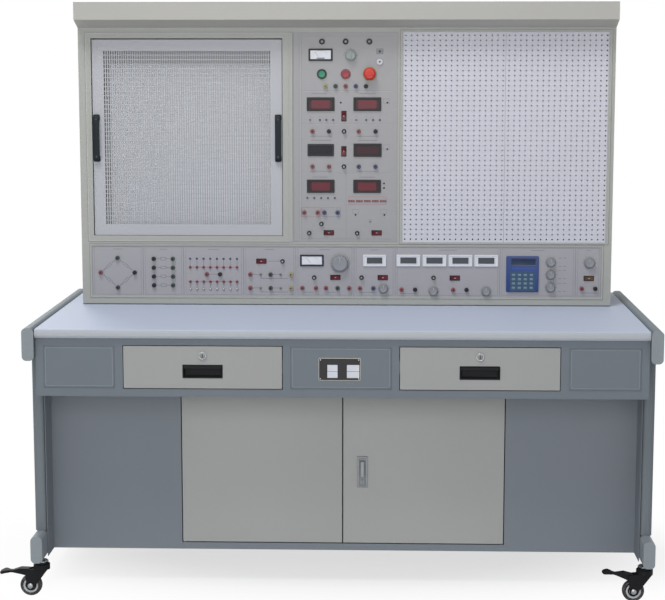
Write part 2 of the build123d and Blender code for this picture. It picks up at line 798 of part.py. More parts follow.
# A panel meter: bezel in front of the panel, window let into it, body behind
def make_meter(x, z, width, height):
    bezel = panel_place(x, z) * Pos(0, 0, meter_bezel / 2) * Box(width, height, meter_bezel)
    bezel = chamfer(bezel.faces().sort_by(Axis.Y)[0].edges(), meter_bezel * 0.3)
    window = panel_place(x, z) * Pos(0, 0, meter_bezel) * Box(
        width - 2 * window_inset, height - 2 * window_inset, meter_bezel / 2)
    body = panel_place(x, z) * Pos(0, 0, -meter_body_depth / 2) * Box(
        width - 2 * meter_body_inset, height - 2 * meter_body_inset, meter_body_depth)
    return bezel - window + body


# The keypad unit: a raised case with a screen and a well that holds sixteen membrane keys
def make_keypad():
    face = panel_place(*strip_spot(*strip_keypads[0])) * Pos(0, 0, keypad_rise)
    case = face * Pos(0, 0, -keypad_rise / 2) * Box(keypad_width, keypad_height, keypad_rise)
    case = chamfer(case.faces().sort_by(Axis.Y)[0].edges(), 1)
    case -= face * Pos(3, 35.5) * Box(keypad_screen_width, keypad_screen_height, 2 * key_well)
    case -= face * Pos(0, -21) * Box(4.2 * key_pitch, 4.4 * key_row_pitch, 2 * key_well)
    keys = []
    for spot in GridLocations(key_pitch, key_row_pitch, 4, 4):
        keys.append(face * Pos(0, -21, key_height / 2 - key_well) * spot * Box(13, 9, key_height))
    return [case, *keys]


def make_terminals():
    spots = [power_spot(*spot) for spot in power_terminals]
    spots += [strip_spot(*spot) for spot in strip_terminals]
    pieces = [panel_place(x, z) * disc(terminal_radius, terminal_height, coarse_sides) for x, z in spots]
    for spot in strip_sockets:
        pieces.append(panel_place(*strip_spot(*spot)) * disc(socket_radius, socket_height, 6))
    return pieces


def make_fuses():
    spots = [power_spot(*spot) for spot in power_fuses] + [strip_spot(*spot) for spot in strip_fuses]
    return [panel_place(x, z) * disc(fuse_radius, fuse_height, coarse_sides) for x, z in spots]


def rocker_frame(x, z, upright):
    ring = rocker_outline(upright, 0) - rocker_outline(upright, rocker_bezel)
    return panel_place(x, z) * extrude(ring, rocker_rise)


# Small fixed fittings: lenses, range keys, toggles, button rings and rocker frames
def make_fittings():
    pieces = [panel_place(*power_spot(*spot)) * disc(key_radius, key_height, 6) for spot in power_keys]
    pip = Pos(0, 0, dot_height / 2) * Box(2 * dot_radius, 2 * dot_radius, dot_height)
    pieces += [panel_place(*power_spot(*spot)) * pip for spot in power_dots]
    pieces += [panel_place(*strip_spot(*spot)) * pip for spot in strip_dots]
    pieces += [panel_place(*power_spot(*spot)) * disc(lamp_radius, lamp_height, coarse_sides)
               for spot in power_lamps]
    toggle = Pos(0, 0, toggle_height / 2) * Box(toggle_width, 1.5 * toggle_width, toggle_height)
    pieces += [panel_place(*strip_spot(*spot)) * toggle for spot in strip_toggles]
    pieces.append(panel_place(*power_spot(*power_toggle)) * toggle)
    pieces.append(panel_place(*power_spot(*key_switch_place)) * disc(lamp_radius, lamp_height, coarse_sides))
    pieces.append(panel_place(*power_spot(*bell_push_place)) * Pos(0, 0, 1.5) * Box(16, 10, 3))
    for place, outer, inner in ((start_place, button_ring_radius, button_radius),
                                (halt_place, button_ring_radius, button_radius),
                                (stop_place, stop_ring_radius, stop_stem_radius)):
        ring = disc(outer, ring_height, fine_sides) - hole_through(inner, 2 * ring_height, fine_sides)
        pieces.append(panel_place(*power_spot(*place)) * ring)
    pieces += [rocker_frame(x, z, upright) for name, x, z, upright in rockers]
    return pieces


# A rocker: a shallow V face, chamfered below, that tilts about its middle; one end is down at rest
def make_rocker(x, z, upright):
    reach = rocker_length / 2 - rocker_bezel - seat_gap
    thickness = rocker_width - 2 * rocker_bezel - 2 * seat_gap
    shoulder = reach * 0.92
    crown = Polyline((-reach, 0), (-shoulder, -5), (shoulder, -5), (reach, 0), (shoulder, 4.6), (0, 2),
                     (-shoulder, 4.6), close=True)
    paddle = Pos(0, 0, -thickness / 2) * extrude(make_face(crown), thickness)
    turn = Rot(0, 0, rocker_tilt)
    if upright:
        plane = Plane(origin=(x, panel_front, z), x_dir=(0, 0, 1), z_dir=(1, 0, 0))
    else:
        plane = Plane(origin=(x, panel_front, z), x_dir=(1, 0, 0), z_dir=(0, 0, 1))
        turn = Rot(0, 0, 180) * turn
    return plane.location * turn * paddle


# A knob: a tapered cap with flats, a raised pointer line, and the shaft that passes through the panel
def make_knob(x, z, radius, rise):
    cap = extrude(RegularPolygon(radius, knob_sides), rise, taper=knob_taper)
    pointer_length = radius * 0.7
    pointer = Pos(0, radius * 0.45, rise) * Box(knob_pointer_width, pointer_length, knob_pointer_width)
    shaft_length = knob_tail + panel_sheet
    shaft = Pos(0, 0, -shaft_length) * disc(knob_shaft_radius, shaft_length + rise / 2, coarse_sides)
    return panel_place(x, z) * (Pos(0, 0, knob_lift) * (cap + pointer) + shaft)


def make_push_button(place):
    length = button_height + panel_sheet + knob_tail
    return panel_place(*power_spot(*place)) * Pos(0, 0, button_height - length) * disc(
        button_radius, length, fine_sides)


def make_emergency_stop():
    crown = Polyline((0, 0), (stop_head_radius, 0), (stop_head_radius, stop_head_height * 0.5),
                     (stop_head_radius * 0.72, stop_head_height), (0, stop_head_height), close=True)
    head = Pos(0, 0, stop_stand_off) * revolve(make_face(Plane.XZ * crown), Axis.Z)
    stem = Pos(0, 0, -knob_tail) * disc(stop_stem_radius, stop_stand_off + knob_tail + 1, fine_sides)
    return panel_place(*power_spot(*stop_place)) * (head + stem)


# What the console holds: the variable transformer behind its dial and the mains transformer
def make_power_supply():
    dial_x, dial_z = knobs[1][1:3]
    coil_front = panel_front + coil_setback
    behind_panel = panel_front + panel_sheet
    ring = disc(coil_radius, coil_depth, fine_sides) - hole_through(coil_bore, coil_depth + 1, fine_sides)
    coil = facing_user(dial_x, coil_front + coil_depth, dial_z) * ring
    boss = disc(coil_bore + 4, coil_front - behind_panel, coarse_sides)
    boss -= hole_through(knob_shaft_radius * 2, coil_setback, coarse_sides)
    carrier = facing_user(dial_x, coil_front, dial_z) * boss
    floor_z = worktop_height + sheet
    core_front = frame_front + core_setback
    x0, x1 = core_x - core_width / 2, core_x + core_width / 2
    core = block(x0, x1, core_front, core_front + core_depth, floor_z, floor_z + core_height)
    winding = block(x0 + winding_trim, x1 - winding_trim, core_front - winding_depth, core_front,
                    floor_z + winding_trim, floor_z + core_height - winding_trim)
    return [coil, carrier, core, winding]


save("console_shell", *make_console_shell())
save("console_frame", *make_console_frame())
save("header", *make_header())
save("mesh_board", *make_mesh_board())
save("pegboards", *make_pegboards())
save("power_panel", *make_power_panel())
save("module_panel", *make_module_panel())
save("power_meters", *[make_meter(*power_spot(x, z), w, h) for x, z, w, h in power_meters])
save("module_meters", *[make_meter(*strip_spot(m, x, z), w, h) for m, x, z, w, h in strip_meters])
save("keypad_unit", *make_keypad())
save("terminals", *make_terminals())
save("fuse_holders", *make_fuses())
save("panel_fittings", *make_fittings())
save("power_supply", *make_power_supply())
for rocker_name, x, z, upright in rockers:
    save(rocker_name, make_rocker(x, z, upright))
for knob_name, x, z, radius, rise in knobs:
    save(knob_name, make_knob(x, z, radius, rise))
save("start_button", make_push_button(start_place))
save("stop_button", make_push_button(halt_place))
save("emergency_stop", make_emergency_stop())


# Castors: a threaded stem with a hexagon collar, a swivelling fork, a wheel and, in front, a brake pedal
def make_stem():
    collar = Pos(0, 0, foot_clearance - collar_height) * disc(collar_radius, collar_height, 6)
    low = foot_clearance - collar_height - kingpin_length
    stem = Pos(0, 0, low) * disc(stem_radius, foot_clearance + stem_length - low, coarse_sides)
    return collar + stem


def make_fork(braked):
    head_top = foot_clearance - collar_height - seat_gap
    head_low = head_top - head_height
    fork = Pos(0, 0, head_low) * disc(head_radius, head_height - head_step_height, fine_sides)
    fork += Pos(0, 0, head_top - head_step_height) * disc(
        head_radius - head_step, head_step_height, fine_sides)
    half_gap = wheel_width / 2 + fork_gap
    cheek_top = (head_radius ** 2 - (half_gap + fork_sheet) ** 2) ** 0.5
    top_bar = Pos(0, head_low + 1) * Rectangle(2 * cheek_top, 2)
    outline = [Pos(-castor_trail, wheel_radius) * Circle(cheek_radius), top_bar]
    if braked:
        outline.append(Pos(*pedal_pivot) * Circle(pedal_barrel_radius))
    cheek_face = make_hull([edge for piece in outline for edge in piece.edges()])
    cheek = Rot(90, 0, 0) * extrude(cheek_face, fork_sheet)
    bolt = Rot(90, 0, 0) * disc(bolt_radius, fork_sheet, 6)
    for y in (-half_gap, half_gap + fork_sheet):
        fork += Pos(0, y, 0) * cheek
    for y in (-half_gap - fork_sheet, half_gap + 2 * fork_sheet):
        fork += Pos(-castor_trail, y, wheel_radius) * bolt
    axle = Rot(90, 0, 0) * disc(axle_radius, 2 * half_gap, fine_sides)
    fork += Pos(-castor_trail, half_gap, wheel_radius) * axle
    if braked:
        pin = Rot(90, 0, 0) * disc(pedal_pin_radius, 2 * half_gap, fine_sides)
        fork += Pos(pedal_pivot[0], half_gap, pedal_pivot[1]) * pin
    fork -= Pos(0, 0, head_top) * hole_through(stem_radius, kingpin_length + 1, coarse_sides)
    return fork


def make_wheel():
    half = wheel_width / 2
    profile = Polyline((0, -half), (hub_radius, -half), (wheel_radius, tread_bevel - half),
                       (wheel_radius, half - tread_bevel), (hub_radius, half), (0, half), close=True)
    wheel = revolve(make_face(Plane.XZ * profile), Axis.Z)
    wheel -= hole_through(axle_radius, wheel_width, fine_sides)
    return Pos(-castor_trail, 0, wheel_radius) * Rot(90, 0, 0) * wheel


# Brake pedal, released: an arm from the pin, narrow at its waist, with a round tread at the end
def make_pedal():
    half = wheel_width / 2 + fork_gap - seat_gap
    px, pz = pedal_pivot
    root = px - pedal_root
    waist = px - pedal_waist_reach
    tip = px - pedal_reach
    side_view = make_face(Polyline(
        (px + 6, pz + 7), (root, pz + 13), (waist, pz + 11), (tip + 16, pz + 17), (tip + 3, pz + 15),
        (tip, pz + 11), (tip + 4, pz + 8), (tip + 18, pz + 9), (waist, pz + 5), (root, pz - 4),
        (px - 8, pz - 9), (px + 6, pz - 4), close=True))
    top_view = make_face(Polyline(
        (px + 7, half), (root, half), (waist, pedal_waist / 2), (waist, -pedal_waist / 2),
        (root, -half), (px + 7, -half), close=True))
    top_view += Pos(tip + pedal_tread_radius, 0) * Circle(pedal_tread_radius)
    top_view += Pos((waist + tip) / 2 + pedal_tread_radius / 2, 0) * Rectangle(
        waist - tip - pedal_tread_radius, pedal_waist)
    pedal = Pos(0, pedal_tread_radius, 0) * Rot(90, 0, 0) * extrude(side_view, 2 * pedal_tread_radius)
    pedal &= extrude(top_view, 2 * pz)
    return pedal - Pos(px, 0, pz) * Rot(90, 0, 0) * hole_through(pedal_pin_radius, 2 * half, fine_sides)


# Turns a pedal down about its pin; the photograph shows the left one pressed
def pressed(pedal):
    px, pz = pedal_pivot
    return Pos(px, 0, pz) * Rot(0, -pedal_travel, 0) * Pos(-px, 0, -pz) * pedal


stems = []
castors = {"front_left": (-1, -1), "front_right": (1, -1), "rear_left": (-1, 1), "rear_right": (1, 1)}
for castor_name, (side, end) in castors.items():
    place = Pos(side * castor_x, end * castor_y, 0)
    braked = end < 0
    stems.append(place * make_stem())
    save(f"{castor_name}_fork", place * make_fork(braked))
    save(f"{castor_name}_wheel", place * make_wheel())
    if braked:
        pedal = make_pedal()
        save(f"{castor_name}_pedal", place * (pressed(pedal) if side < 0 else pedal))
save("castor_stems", *stems)
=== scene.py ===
import math
import bmesh
import bpy
from mathutils import Matrix, Vector


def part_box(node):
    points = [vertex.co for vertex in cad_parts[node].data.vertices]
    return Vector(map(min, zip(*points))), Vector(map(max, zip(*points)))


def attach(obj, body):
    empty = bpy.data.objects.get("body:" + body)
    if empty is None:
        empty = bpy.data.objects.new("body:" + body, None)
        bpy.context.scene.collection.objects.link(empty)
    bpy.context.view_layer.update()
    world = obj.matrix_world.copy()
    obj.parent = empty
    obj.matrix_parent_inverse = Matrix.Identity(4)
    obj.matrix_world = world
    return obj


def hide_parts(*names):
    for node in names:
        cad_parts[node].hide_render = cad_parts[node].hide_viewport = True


# The electrical training bench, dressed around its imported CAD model.
# Lengths in the dictionaries are millimetres. X runs right, Y away from the user, Z up.

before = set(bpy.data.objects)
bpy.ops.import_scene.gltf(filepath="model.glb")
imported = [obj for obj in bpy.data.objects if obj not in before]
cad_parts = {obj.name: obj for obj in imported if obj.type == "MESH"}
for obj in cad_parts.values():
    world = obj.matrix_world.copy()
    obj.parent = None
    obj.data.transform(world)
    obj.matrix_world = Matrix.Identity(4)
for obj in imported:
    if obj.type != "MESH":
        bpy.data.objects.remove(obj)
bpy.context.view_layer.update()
print("frame loaded,", len(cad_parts), "nodes")


# Camera at the photograph's place, fitted to the edges of the bench: metres, radians, mm of lens
cameraSetup = {
    "place": (0.1218, -4.8217, 1.450),
    "turn": 0.0325,
    "tilt": -0.1375,
    "lens": 91.68,
    "sensor": 36,
    "farthest": 60,
}


def addObject(name, data):
    thing = bpy.data.objects.new(name, data)
    bpy.context.scene.collection.objects.link(thing)
    return thing


def makeCamera():
    lens = bpy.data.cameras.new("benchCamera")
    lens.lens = cameraSetup["lens"]
    lens.sensor_width = cameraSetup["sensor"]
    lens.clip_end = cameraSetup["farthest"]
    camera = addObject("benchCamera", lens)
    camera.location = cameraSetup["place"]
    camera.rotation_euler = (math.pi / 2 + cameraSetup["tilt"], 0, cameraSetup["turn"])
    bpy.context.scene.camera = camera


makeCamera()
print("camera placed")


def linear(hexColour):
    # sRGB hex to the linear values that the sockets take
    channels = [int(hexColour[i:i + 2], 16) / 255 for i in (1, 3, 5)]
    return tuple(c / 12.92 if c <= 0.04045 else ((c + 0.055) / 1.055) ** 2.4 for c in channels) + (1.0,)


def shaded(colour, share):
    # The same colour a little darker or lighter
    return tuple(min(1.0, c * share) for c in colour[:3]) + (1.0,)


def addNode(tree, kind, settings=None, inputs=None, links=None):
    node = tree.nodes.new("ShaderNode" + kind)
    for name, value in (settings or {}).items():
        setattr(node, name, value)
    for socket, value in (inputs or {}).items():
        node.inputs[socket].default_value = value
    for socket, source in (links or {}).items():
        tree.links.new(source, node.inputs[socket])
    return node


# Noise with patches of a given size, in mm
def noiseOf(tree, place, patch, detail):
    inputs = {"Scale": 1000 / patch, "Detail": detail}
    return addNode(tree, "TexNoise", inputs=inputs, links={"Vector": place}).outputs["Fac"]


def mapped(tree, value, start, end, low=0.0, high=1.0):
    ranges = {"From Min": start, "From Max": end, "To Min": low, "To Max": high}
    return addNode(tree, "MapRange", inputs=ranges, links={"Value": value}).outputs["Result"]


# Two colours mixed by a share. Each is a fixed colour or the output of a node.
def mixed(tree, share, first, second):
    fixed, linked = {}, {0: share}
    for socket, colour in ((6, first), (7, second)):
        (fixed if isinstance(colour, tuple) else linked)[socket] = colour
    return addNode(tree, "Mix", {"data_type": "RGBA"}, fixed, linked).outputs[2]


def startMaterial(name):
    material = bpy.data.materials.new(name)
    material.use_nodes = True
    tree = material.node_tree
    return material, tree, tree.nodes["Principled BSDF"], addNode(tree, "TexCoord").outputs["Object"]


# One tint that drifts between two shades over patches of a given size, in mm
def driftingColour(tree, place, colour, patch, depth):
    cloud = noiseOf(tree, place, patch, detail=4.0)
    return mixed(tree, cloud, shaded(colour, 1 - depth), shaded(colour, 1 + depth))


# A second colour on the front and back ends, from a given distance to the middle, in mm
def byDepth(tree, place, tint, endColour, line, blur):
    axes = addNode(tree, "SeparateXYZ", links={"Vector": place})
    reach = addNode(tree, "Math", {"operation": "ABSOLUTE"}, links={0: axes.outputs["Y"]})
    share = mapped(tree, reach.outputs[0], (line - blur) / 1000, (line + blur) / 1000)
    return mixed(tree, share, tint, linear(endColour))


# Roughness and relief from one fine noise, with grain and relief in mm
def fineGrain(tree, shader, place, grain, relief, gloss, spread):
    noise = noiseOf(tree, place, grain, detail=2.0)
    rough = mapped(tree, noise, 0.0, 1.0, gloss - spread, gloss + spread)
    tree.links.new(rough, shader.inputs["Roughness"])
    bump = addNode(tree, "Bump", inputs={"Strength": 0.5, "Distance": relief / 1000}, links={"Height": noise})
    tree.links.new(bump.outputs["Normal"], shader.inputs["Normal"])


# Powder coat: polyester powder, sprayed and baked on sheet steel. The eye sees a satin film with a
# fine orange peel and slow drifts of tone. The 1 mm peel is drawn at 3 mm, so that it shows.
def powderCoat(name, hexColour, peel=3.0, gloss=0.46, drift=0.035, sheen=0.35, ends=None):
    material, tree, shader, place = startMaterial(name)
    colour = linear(hexColour)
    tint = driftingColour(tree, place, colour, patch=260, depth=drift)
    if ends:
        tint = byDepth(tree, place, tint, *ends, blur=0.6)
    fleck = mapped(tree, noiseOf(tree, place, patch=2.2, detail=1.0), start=0.62, end=0.74, high=0.10)
    tree.links.new(mixed(tree, fleck, tint, shaded(colour, 0.72)), shader.inputs["Base Color"])
    fineGrain(tree, shader, place, grain=peel, relief=0.05, gloss=gloss, spread=0.05)
    shader.inputs["Specular IOR Level"].default_value = sheen
    return material


# Laminate: printed paper under melamine, pressed against a textured plate. A soft sheen over a
# close speckle, drawn at 4 mm where the real print is finer.
def pressedLaminate(name, hexColour, noseShadeColour, noseShadeLine):
    material, tree, shader, place = startMaterial(name)
    colour = linear(hexColour)
    tint = driftingColour(tree, place, colour, patch=420, depth=0.03)
    # Painted shade: a darker grey over the front of the rounded edge
    tint = byDepth(tree, place, tint, noseShadeColour, noseShadeLine, blur=1.5)
    speckle = addNode(tree, "TexVoronoi", inputs={"Scale": 1000 / 4.0}, links={"Vector": place})
    dots = mapped(tree, speckle.outputs["Distance"], start=0.05, end=0.30, low=0.16, high=0.0)
    tree.links.new(mixed(tree, dots, tint, shaded(colour, 0.82)), shader.inputs["Base Color"])
    fineGrain(tree, shader, place, grain=1.6, relief=0.02, gloss=0.55, spread=0.05)
    shader.inputs["Specular IOR Level"].default_value = 0.12
    return material


# Panel sheet: aluminium, brushed along its length and lacquered matt grey. The brushing shows as
# long faint streaks.
def lacqueredAluminium(name, hexColour):
    material, tree, shader, place = startMaterial(name)
    colour = linear(hexColour)
    tint = driftingColour(tree, place, colour, patch=180, depth=0.03)
    stretch = addNode(tree, "Mapping", inputs={"Scale": (0.03, 1.0, 1.0)}, links={"Vector": place})
    streak = noiseOf(tree, stretch.outputs["Vector"], patch=1.4, detail=2.0)
    lines = mapped(tree, streak, start=0.35, end=0.7, high=0.12)
    tree.links.new(mixed(tree, lines, tint, shaded(colour, 1.25)), shader.inputs["Base Color"])
    fineGrain(tree, shader, place, grain=1.8, relief=0.02, gloss=0.44, spread=0.05)
    return material


# Even skins share one build: a drifting tint, a fine grain and fixed numbers on other sockets
def evenSkin(name, hexColour, patch, depth, grain, relief, gloss, spread, sockets):
    material, tree, shader, place = startMaterial(name)
    tree.links.new(driftingColour(tree, place, linear(hexColour), patch, depth), shader.inputs["Base Color"])
    fineGrain(tree, shader, place, grain, relief, gloss, spread)
    for socket, value in sockets.items():
        shader.inputs[socket].default_value = value
    return material


# ABS and nylon: injection moulded in a spark-eroded tool. An even fine grain under a soft highlight.
def mouldedPlastic(name, hexColour, gloss=0.38, grain=0.9, coat=0.0, sheen=0.5):
    return evenSkin(name, hexColour, patch=30, depth=0.06, grain=grain, relief=0.03, gloss=gloss, spread=0.06,
                    sockets={"Coat Weight": coat, "Specular IOR Level": sheen})


# Windows and rockers: dyed acrylic, cast and polished, over a dark ground. Clear gloss, deep tone.
def dyedAcrylic(name, hexColour, gloss=0.34):
    return evenSkin(name, hexColour, patch=45, depth=0.16, grain=6.0, relief=0.01, gloss=gloss, spread=0.04,
                    sockets={"IOR": 1.49, "Specular IOR Level": 0.16, "Coat Weight": 0.04})


# Plated steel: bright zinc, nickel or chromium over turned or pressed steel, with fine tool marks
def platedSteel(name, hexColour, gloss=0.24):
    return evenSkin(name, hexColour, patch=22, depth=0.10, grain=0.7, relief=0.02, gloss=gloss, spread=0.07,
                    sockets={"Metallic": 1.0})


# Screen print: matt ink laid on the panels, a little thin in places
def screenPrint(name, hexColour):
    return evenSkin(name, hexColour, patch=14, depth=0.14, grain=0.8, relief=0.01, gloss=0.62, spread=0.06,
                    sockets={})


# Tyre: polyurethane, cast on the wheel and turned. A dull skin, scuffed grey in patches.
def castPolyurethane(name, hexColour, scuffColour):
    material, tree, shader, place = startMaterial(name)
    rubbed = mapped(tree, noiseOf(tree, place, patch=9, detail=5.0), start=0.5, end=0.75, high=0.5)
    tint = mixed(tree, rubbed, linear(hexColour), linear(scuffColour))
    tree.links.new(tint, shader.inputs["Base Color"])
    fineGrain(tree, shader, place, grain=1.1, relief=0.05, gloss=0.55, spread=0.08)
    return material


# Windings: enamelled copper wire, laid in turns and varnished. The layers show as bands.
def enamelledWindings(name, hexColour):
    material, tree, shader, place = startMaterial(name)
    colour = linear(hexColour)
    turns = addNode(tree, "TexWave", inputs={"Scale": 25, "Distortion": 0.6}, links={"Vector": place})
    tint = mixed(tree, turns.outputs["Fac"], shaded(colour, 0.6), colour)
    tree.links.new(tint, shader.inputs["Base Color"])
    shader.inputs["Metallic"].default_value = 0.4
    fineGrain(tree, shader, place, grain=2.0, relief=0.05, gloss=0.35, spread=0.05)
    return material


# From this depth behind the front of the worktop, the laminate turns darker over its rounded nose: painted
# shade below the nose's lit top
shadedNoseDepth = 4
worktopShadeLine = -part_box("worktop")[0].y * 1000 - shadedNoseDepth

finishes = {
    "consolePaint": powderCoat("powderCoatLightGrey", "#9b9d99"),
    "headerPaint": powderCoat("powderCoatHeader", "#a2a19d"),
    "boardPaint": powderCoat("powderCoatBoard", "#a6a8ae"),
    "backingPaint": powderCoat("powderCoatBacking", "#f1f2f5", drift=0.01),
    "pegPaint": powderCoat("powderCoatWhite", "#babbc5"),
    "railPaint": powderCoat("powderCoatRail", "#828a90", sheen=0.12),
    # Side rails: the rail paint written darker along the tube, painted shade against the light on its top;
    # the lighter ends are the end caps' own tone
    "tubePaint": powderCoat("powderCoatTube", "#69737a", sheen=0.12, ends=("#80878c", 403.5)),
    "postPaint": powderCoat("powderCoatPost", "#646c72"),
    "carcassPaint": powderCoat("powderCoatBlueGrey", "#616971"),
    "cabinetPaint": powderCoat("powderCoatCabinet", "#70777f"),
    "frontPaint": powderCoat("powderCoatWarmGrey", "#8e8f8f"),
    # Doors: the drawer fronts' warm grey written lighter, painted light against the shade under the drawer
    # unit
    "doorPaint": powderCoat("powderCoatDoor", "#9c9d9d"),
    "castorPaint": powderCoat("powderCoatBlack", "#0d0e11", peel=2.0, gloss=0.55, sheen=0.18),
    # Worktop: its second colour is painted shade on the front of the rounded nose
    "worktopLaminate": pressedLaminate("laminatePaleBlue", "#b5bed0", "#a3a7ae", worktopShadeLine),
    "powerSheet": lacqueredAluminium("lacqueredAluminiumWarm", "#8d8d90"),
    "moduleSheet": lacqueredAluminium("lacqueredAluminiumCool", "#939298"),
    "blackAbs": mouldedPlastic("absBlack", "#17181c", gloss=0.45, sheen=0.3),
    "softBlackAbs": mouldedPlastic("absBlackMatt", "#0f1013", gloss=0.55, sheen=0.2),
    "whiteAbs": mouldedPlastic("absWhite", "#cacdd4"),
    "paleAbs": mouldedPlastic("absPaleGrey", "#a2a4a9", gloss=0.5),
    "greyAbs": mouldedPlastic("absGrey", "#7b7e82", gloss=0.55),
    "darkGreyAbs": mouldedPlastic("absDarkGrey", "#858c8b", gloss=0.5),
    "knobCap": mouldedPlastic("absKnobCap", "#7f8187", gloss=0.55),
    "hubGrey": mouldedPlastic("nylonGrey", "#a9acb0", gloss=0.42),
    "lampDome": mouldedPlastic("polycarbonateFrosted", "#7d8187", gloss=0.2, coat=0.6),
    "redAbs": mouldedPlastic("absRed", "#76353c", gloss=0.45),
    "brightRedAbs": mouldedPlastic("absBrightRed", "#b8322c", gloss=0.5, sheen=0.35),
    "keyRed": mouldedPlastic("absDullRed", "#742a32", coat=0.2),
    "buttonRed": mouldedPlastic("absButtonRed", "#8c343b", gloss=0.45, sheen=0.4),
    "greenAbs": mouldedPlastic("absGreen", "#2b7a5e", gloss=0.45, sheen=0.4),
    "darkGreenAbs": mouldedPlastic("absDarkGreen", "#193029", gloss=0.45),
    "yellowAbs": mouldedPlastic("absYellow", "#8f8751", gloss=0.45),
    "blueAbs": mouldedPlastic("absBlue", "#2d3357", gloss=0.45),
    "navyAbs": mouldedPlastic("absNavy", "#1b1f33", gloss=0.5, sheen=0.3),
    "handleAbs": mouldedPlastic("absHandle", "#0d181e", gloss=0.6, sheen=0.25),
    "keypadAbs": mouldedPlastic("absKeypadBlue", "#1c3b75", gloss=0.55),
    # Printed polyester film over dome keys, a satin skin
    "membraneBlue": mouldedPlastic("polyesterFilmBlue", "#264362", gloss=0.6),
    "membraneKey": mouldedPlastic("polyesterKeyPale", "#647b87", gloss=0.55),
    "membraneStrip": mouldedPlastic("polyesterFilmBright", "#23428f", gloss=0.5),
    # Extruded rubber, dull and a little chalky; at the console's foot it doubles as painted shade
    "shadeSealRubber": mouldedPlastic("epdmShadeStrip", "#3a3f43", gloss=0.7, grain=1.4),
    # Anodised aluminium: etched and dyed, a dry even skin
    "plateBlack": mouldedPlastic("anodisedBlack", "#0f0f13", gloss=0.62),
    "plateEdge": mouldedPlastic("anodisedSilver", "#a5a39a", gloss=0.4),
    "plateField": mouldedPlastic("anodisedPale", "#bcc0ca", gloss=0.45),
    "redAcrylic": dyedAcrylic("acrylicDeepRed", "#38242a"),
    "litAcrylic": dyedAcrylic("acrylicRed", "#602b33"),
    "lcdGlass": dyedAcrylic("acrylicLcdGrey", "#4a4d53", gloss=0.5),
    "screenGlass": dyedAcrylic("acrylicScreenBlue", "#2a3850", gloss=0.55),
    "smokeAcrylic": dyedAcrylic("acrylicSmoke", "#1d1e23"),
    "rockerAcrylic": dyedAcrylic("polycarbonateRockerRed", "#5e2129"),
    "amberAcrylic": dyedAcrylic("polycarbonateRockerAmber", "#62452f"),
    "chrome": platedSteel("chromePlate", "#b6b8ba", gloss=0.2),
    "zinc": platedSteel("zincPlate", "#9c9fa2", gloss=0.36),
    "nickel": platedSteel("nickelPlate", "#8e9194", gloss=0.3),
    # Darker nickel for the latch well and the lock face inside its ring: painted shade in the recess
    "recessShadeNickel": platedSteel("nickelRecessShade", "#777b7e", gloss=0.5),
    "latchNickel": platedSteel("nickelBrushed", "#84878a", gloss=0.46),
    "handleScrew": platedSteel("nickelBlackened", "#3f484c", gloss=0.55),
    "fuseContact": platedSteel("nickelContact", "#7d8083", gloss=0.5),
    "tyre": castPolyurethane("polyurethaneBlack", "#131416", "#77787a"),
    "darkPrint": screenPrint("printDarkGrey", "#505359"),
    "softPrint": screenPrint("printSoftGrey", "#7b7c82"),
    "lightPrint": screenPrint("printLightGrey", "#a2a4a8"),
    "redPrint": screenPrint("printDullRed", "#99646c"),
    "bluePrint": screenPrint("printDullBlue", "#6b6f92"),
    "arrowPink": screenPrint("printPaleRed", "#b9554f"),
    # Painted shade and painted highlight lines along the frame joints and round the blank panels
    "jointShade": screenPrint("powderCoatJointShade", "#7c7d7a"),
    "jointHighlight": screenPrint("paintedJointHighlight", "#b7b9b7"),
    "carcassShade": screenPrint("powderCoatCarcassShade", "#565d65"),
    "carcassHighlight": screenPrint("paintedCarcassHighlight", "#727a82"),
    "windings": enamelledWindings("enamelledCopper", "#8a5a35"),
}
print("finishes ready,", len(finishes))


# Place on an upright face: local x runs right, local y up, local z towards the user
def facing(x, y, z, turn=0.0):
    upright = Matrix(((1, 0, 0, x), (0, 0, -1, y), (0, 1, 0, z), (0, 0, 0, 1)))
    return upright @ Matrix.Rotation(turn, 4, "Z")


# Place on a face that looks away from the user: local x runs left, local y up
def facingAway(x, y, z):
    return Matrix(((-1, 0, 0, x), (0, 0, 1, y), (0, 1, 0, z), (0, 0, 0, 1)))


# A place moved along its own axes
def shifted(place, x, y, z=0.0):
    return place @ Matrix.Translation((x, y, z))


def roundRing(radius, level, sides=24, flute=0.0, flutes=0):
    ring = []
    for i in range(sides):
        angle = 2 * math.pi * i / sides
        reach = radius + flute * math.cos(flutes * angle)
        ring.append((reach * math.cos(angle), reach * math.sin(angle), level))
    return ring


def boxRing(width, height, level, corner, steps=3, shift=(0, 0)):
    ring = []
    for cornerX, cornerY, start in ((1, 1, 0), (-1, 1, 90), (-1, -1, 180), (1, -1, 270)):
        for step in range(steps + 1):
            angle = math.radians(start + 90 * step / steps)
            ring.append((cornerX * (width / 2 - corner) + corner * math.cos(angle) + shift[0],
                         cornerY * (height / 2 - corner) + corner * math.sin(angle) + shift[1], level))
    return ring


# Rings of a stepped box. Each layer gives how much smaller it is, its level and its corner radius.
def boxRings(width, height, layers, steps=3, shift=(0, 0)):
    return [boxRing(width - less, height - less, level, corner, steps, shift)
            for less, level, corner in layers]


def addLoops(shape, rings, place):
    return [[shape.verts.new(place @ Vector(point)) for point in ring] for ring in rings]


def addBand(shape, a, b, slot=0):
    for i in range(len(a)):
        j = (i + 1) % len(a)
        shape.faces.new((a[i], a[j], b[j], b[i])).material_index = slot


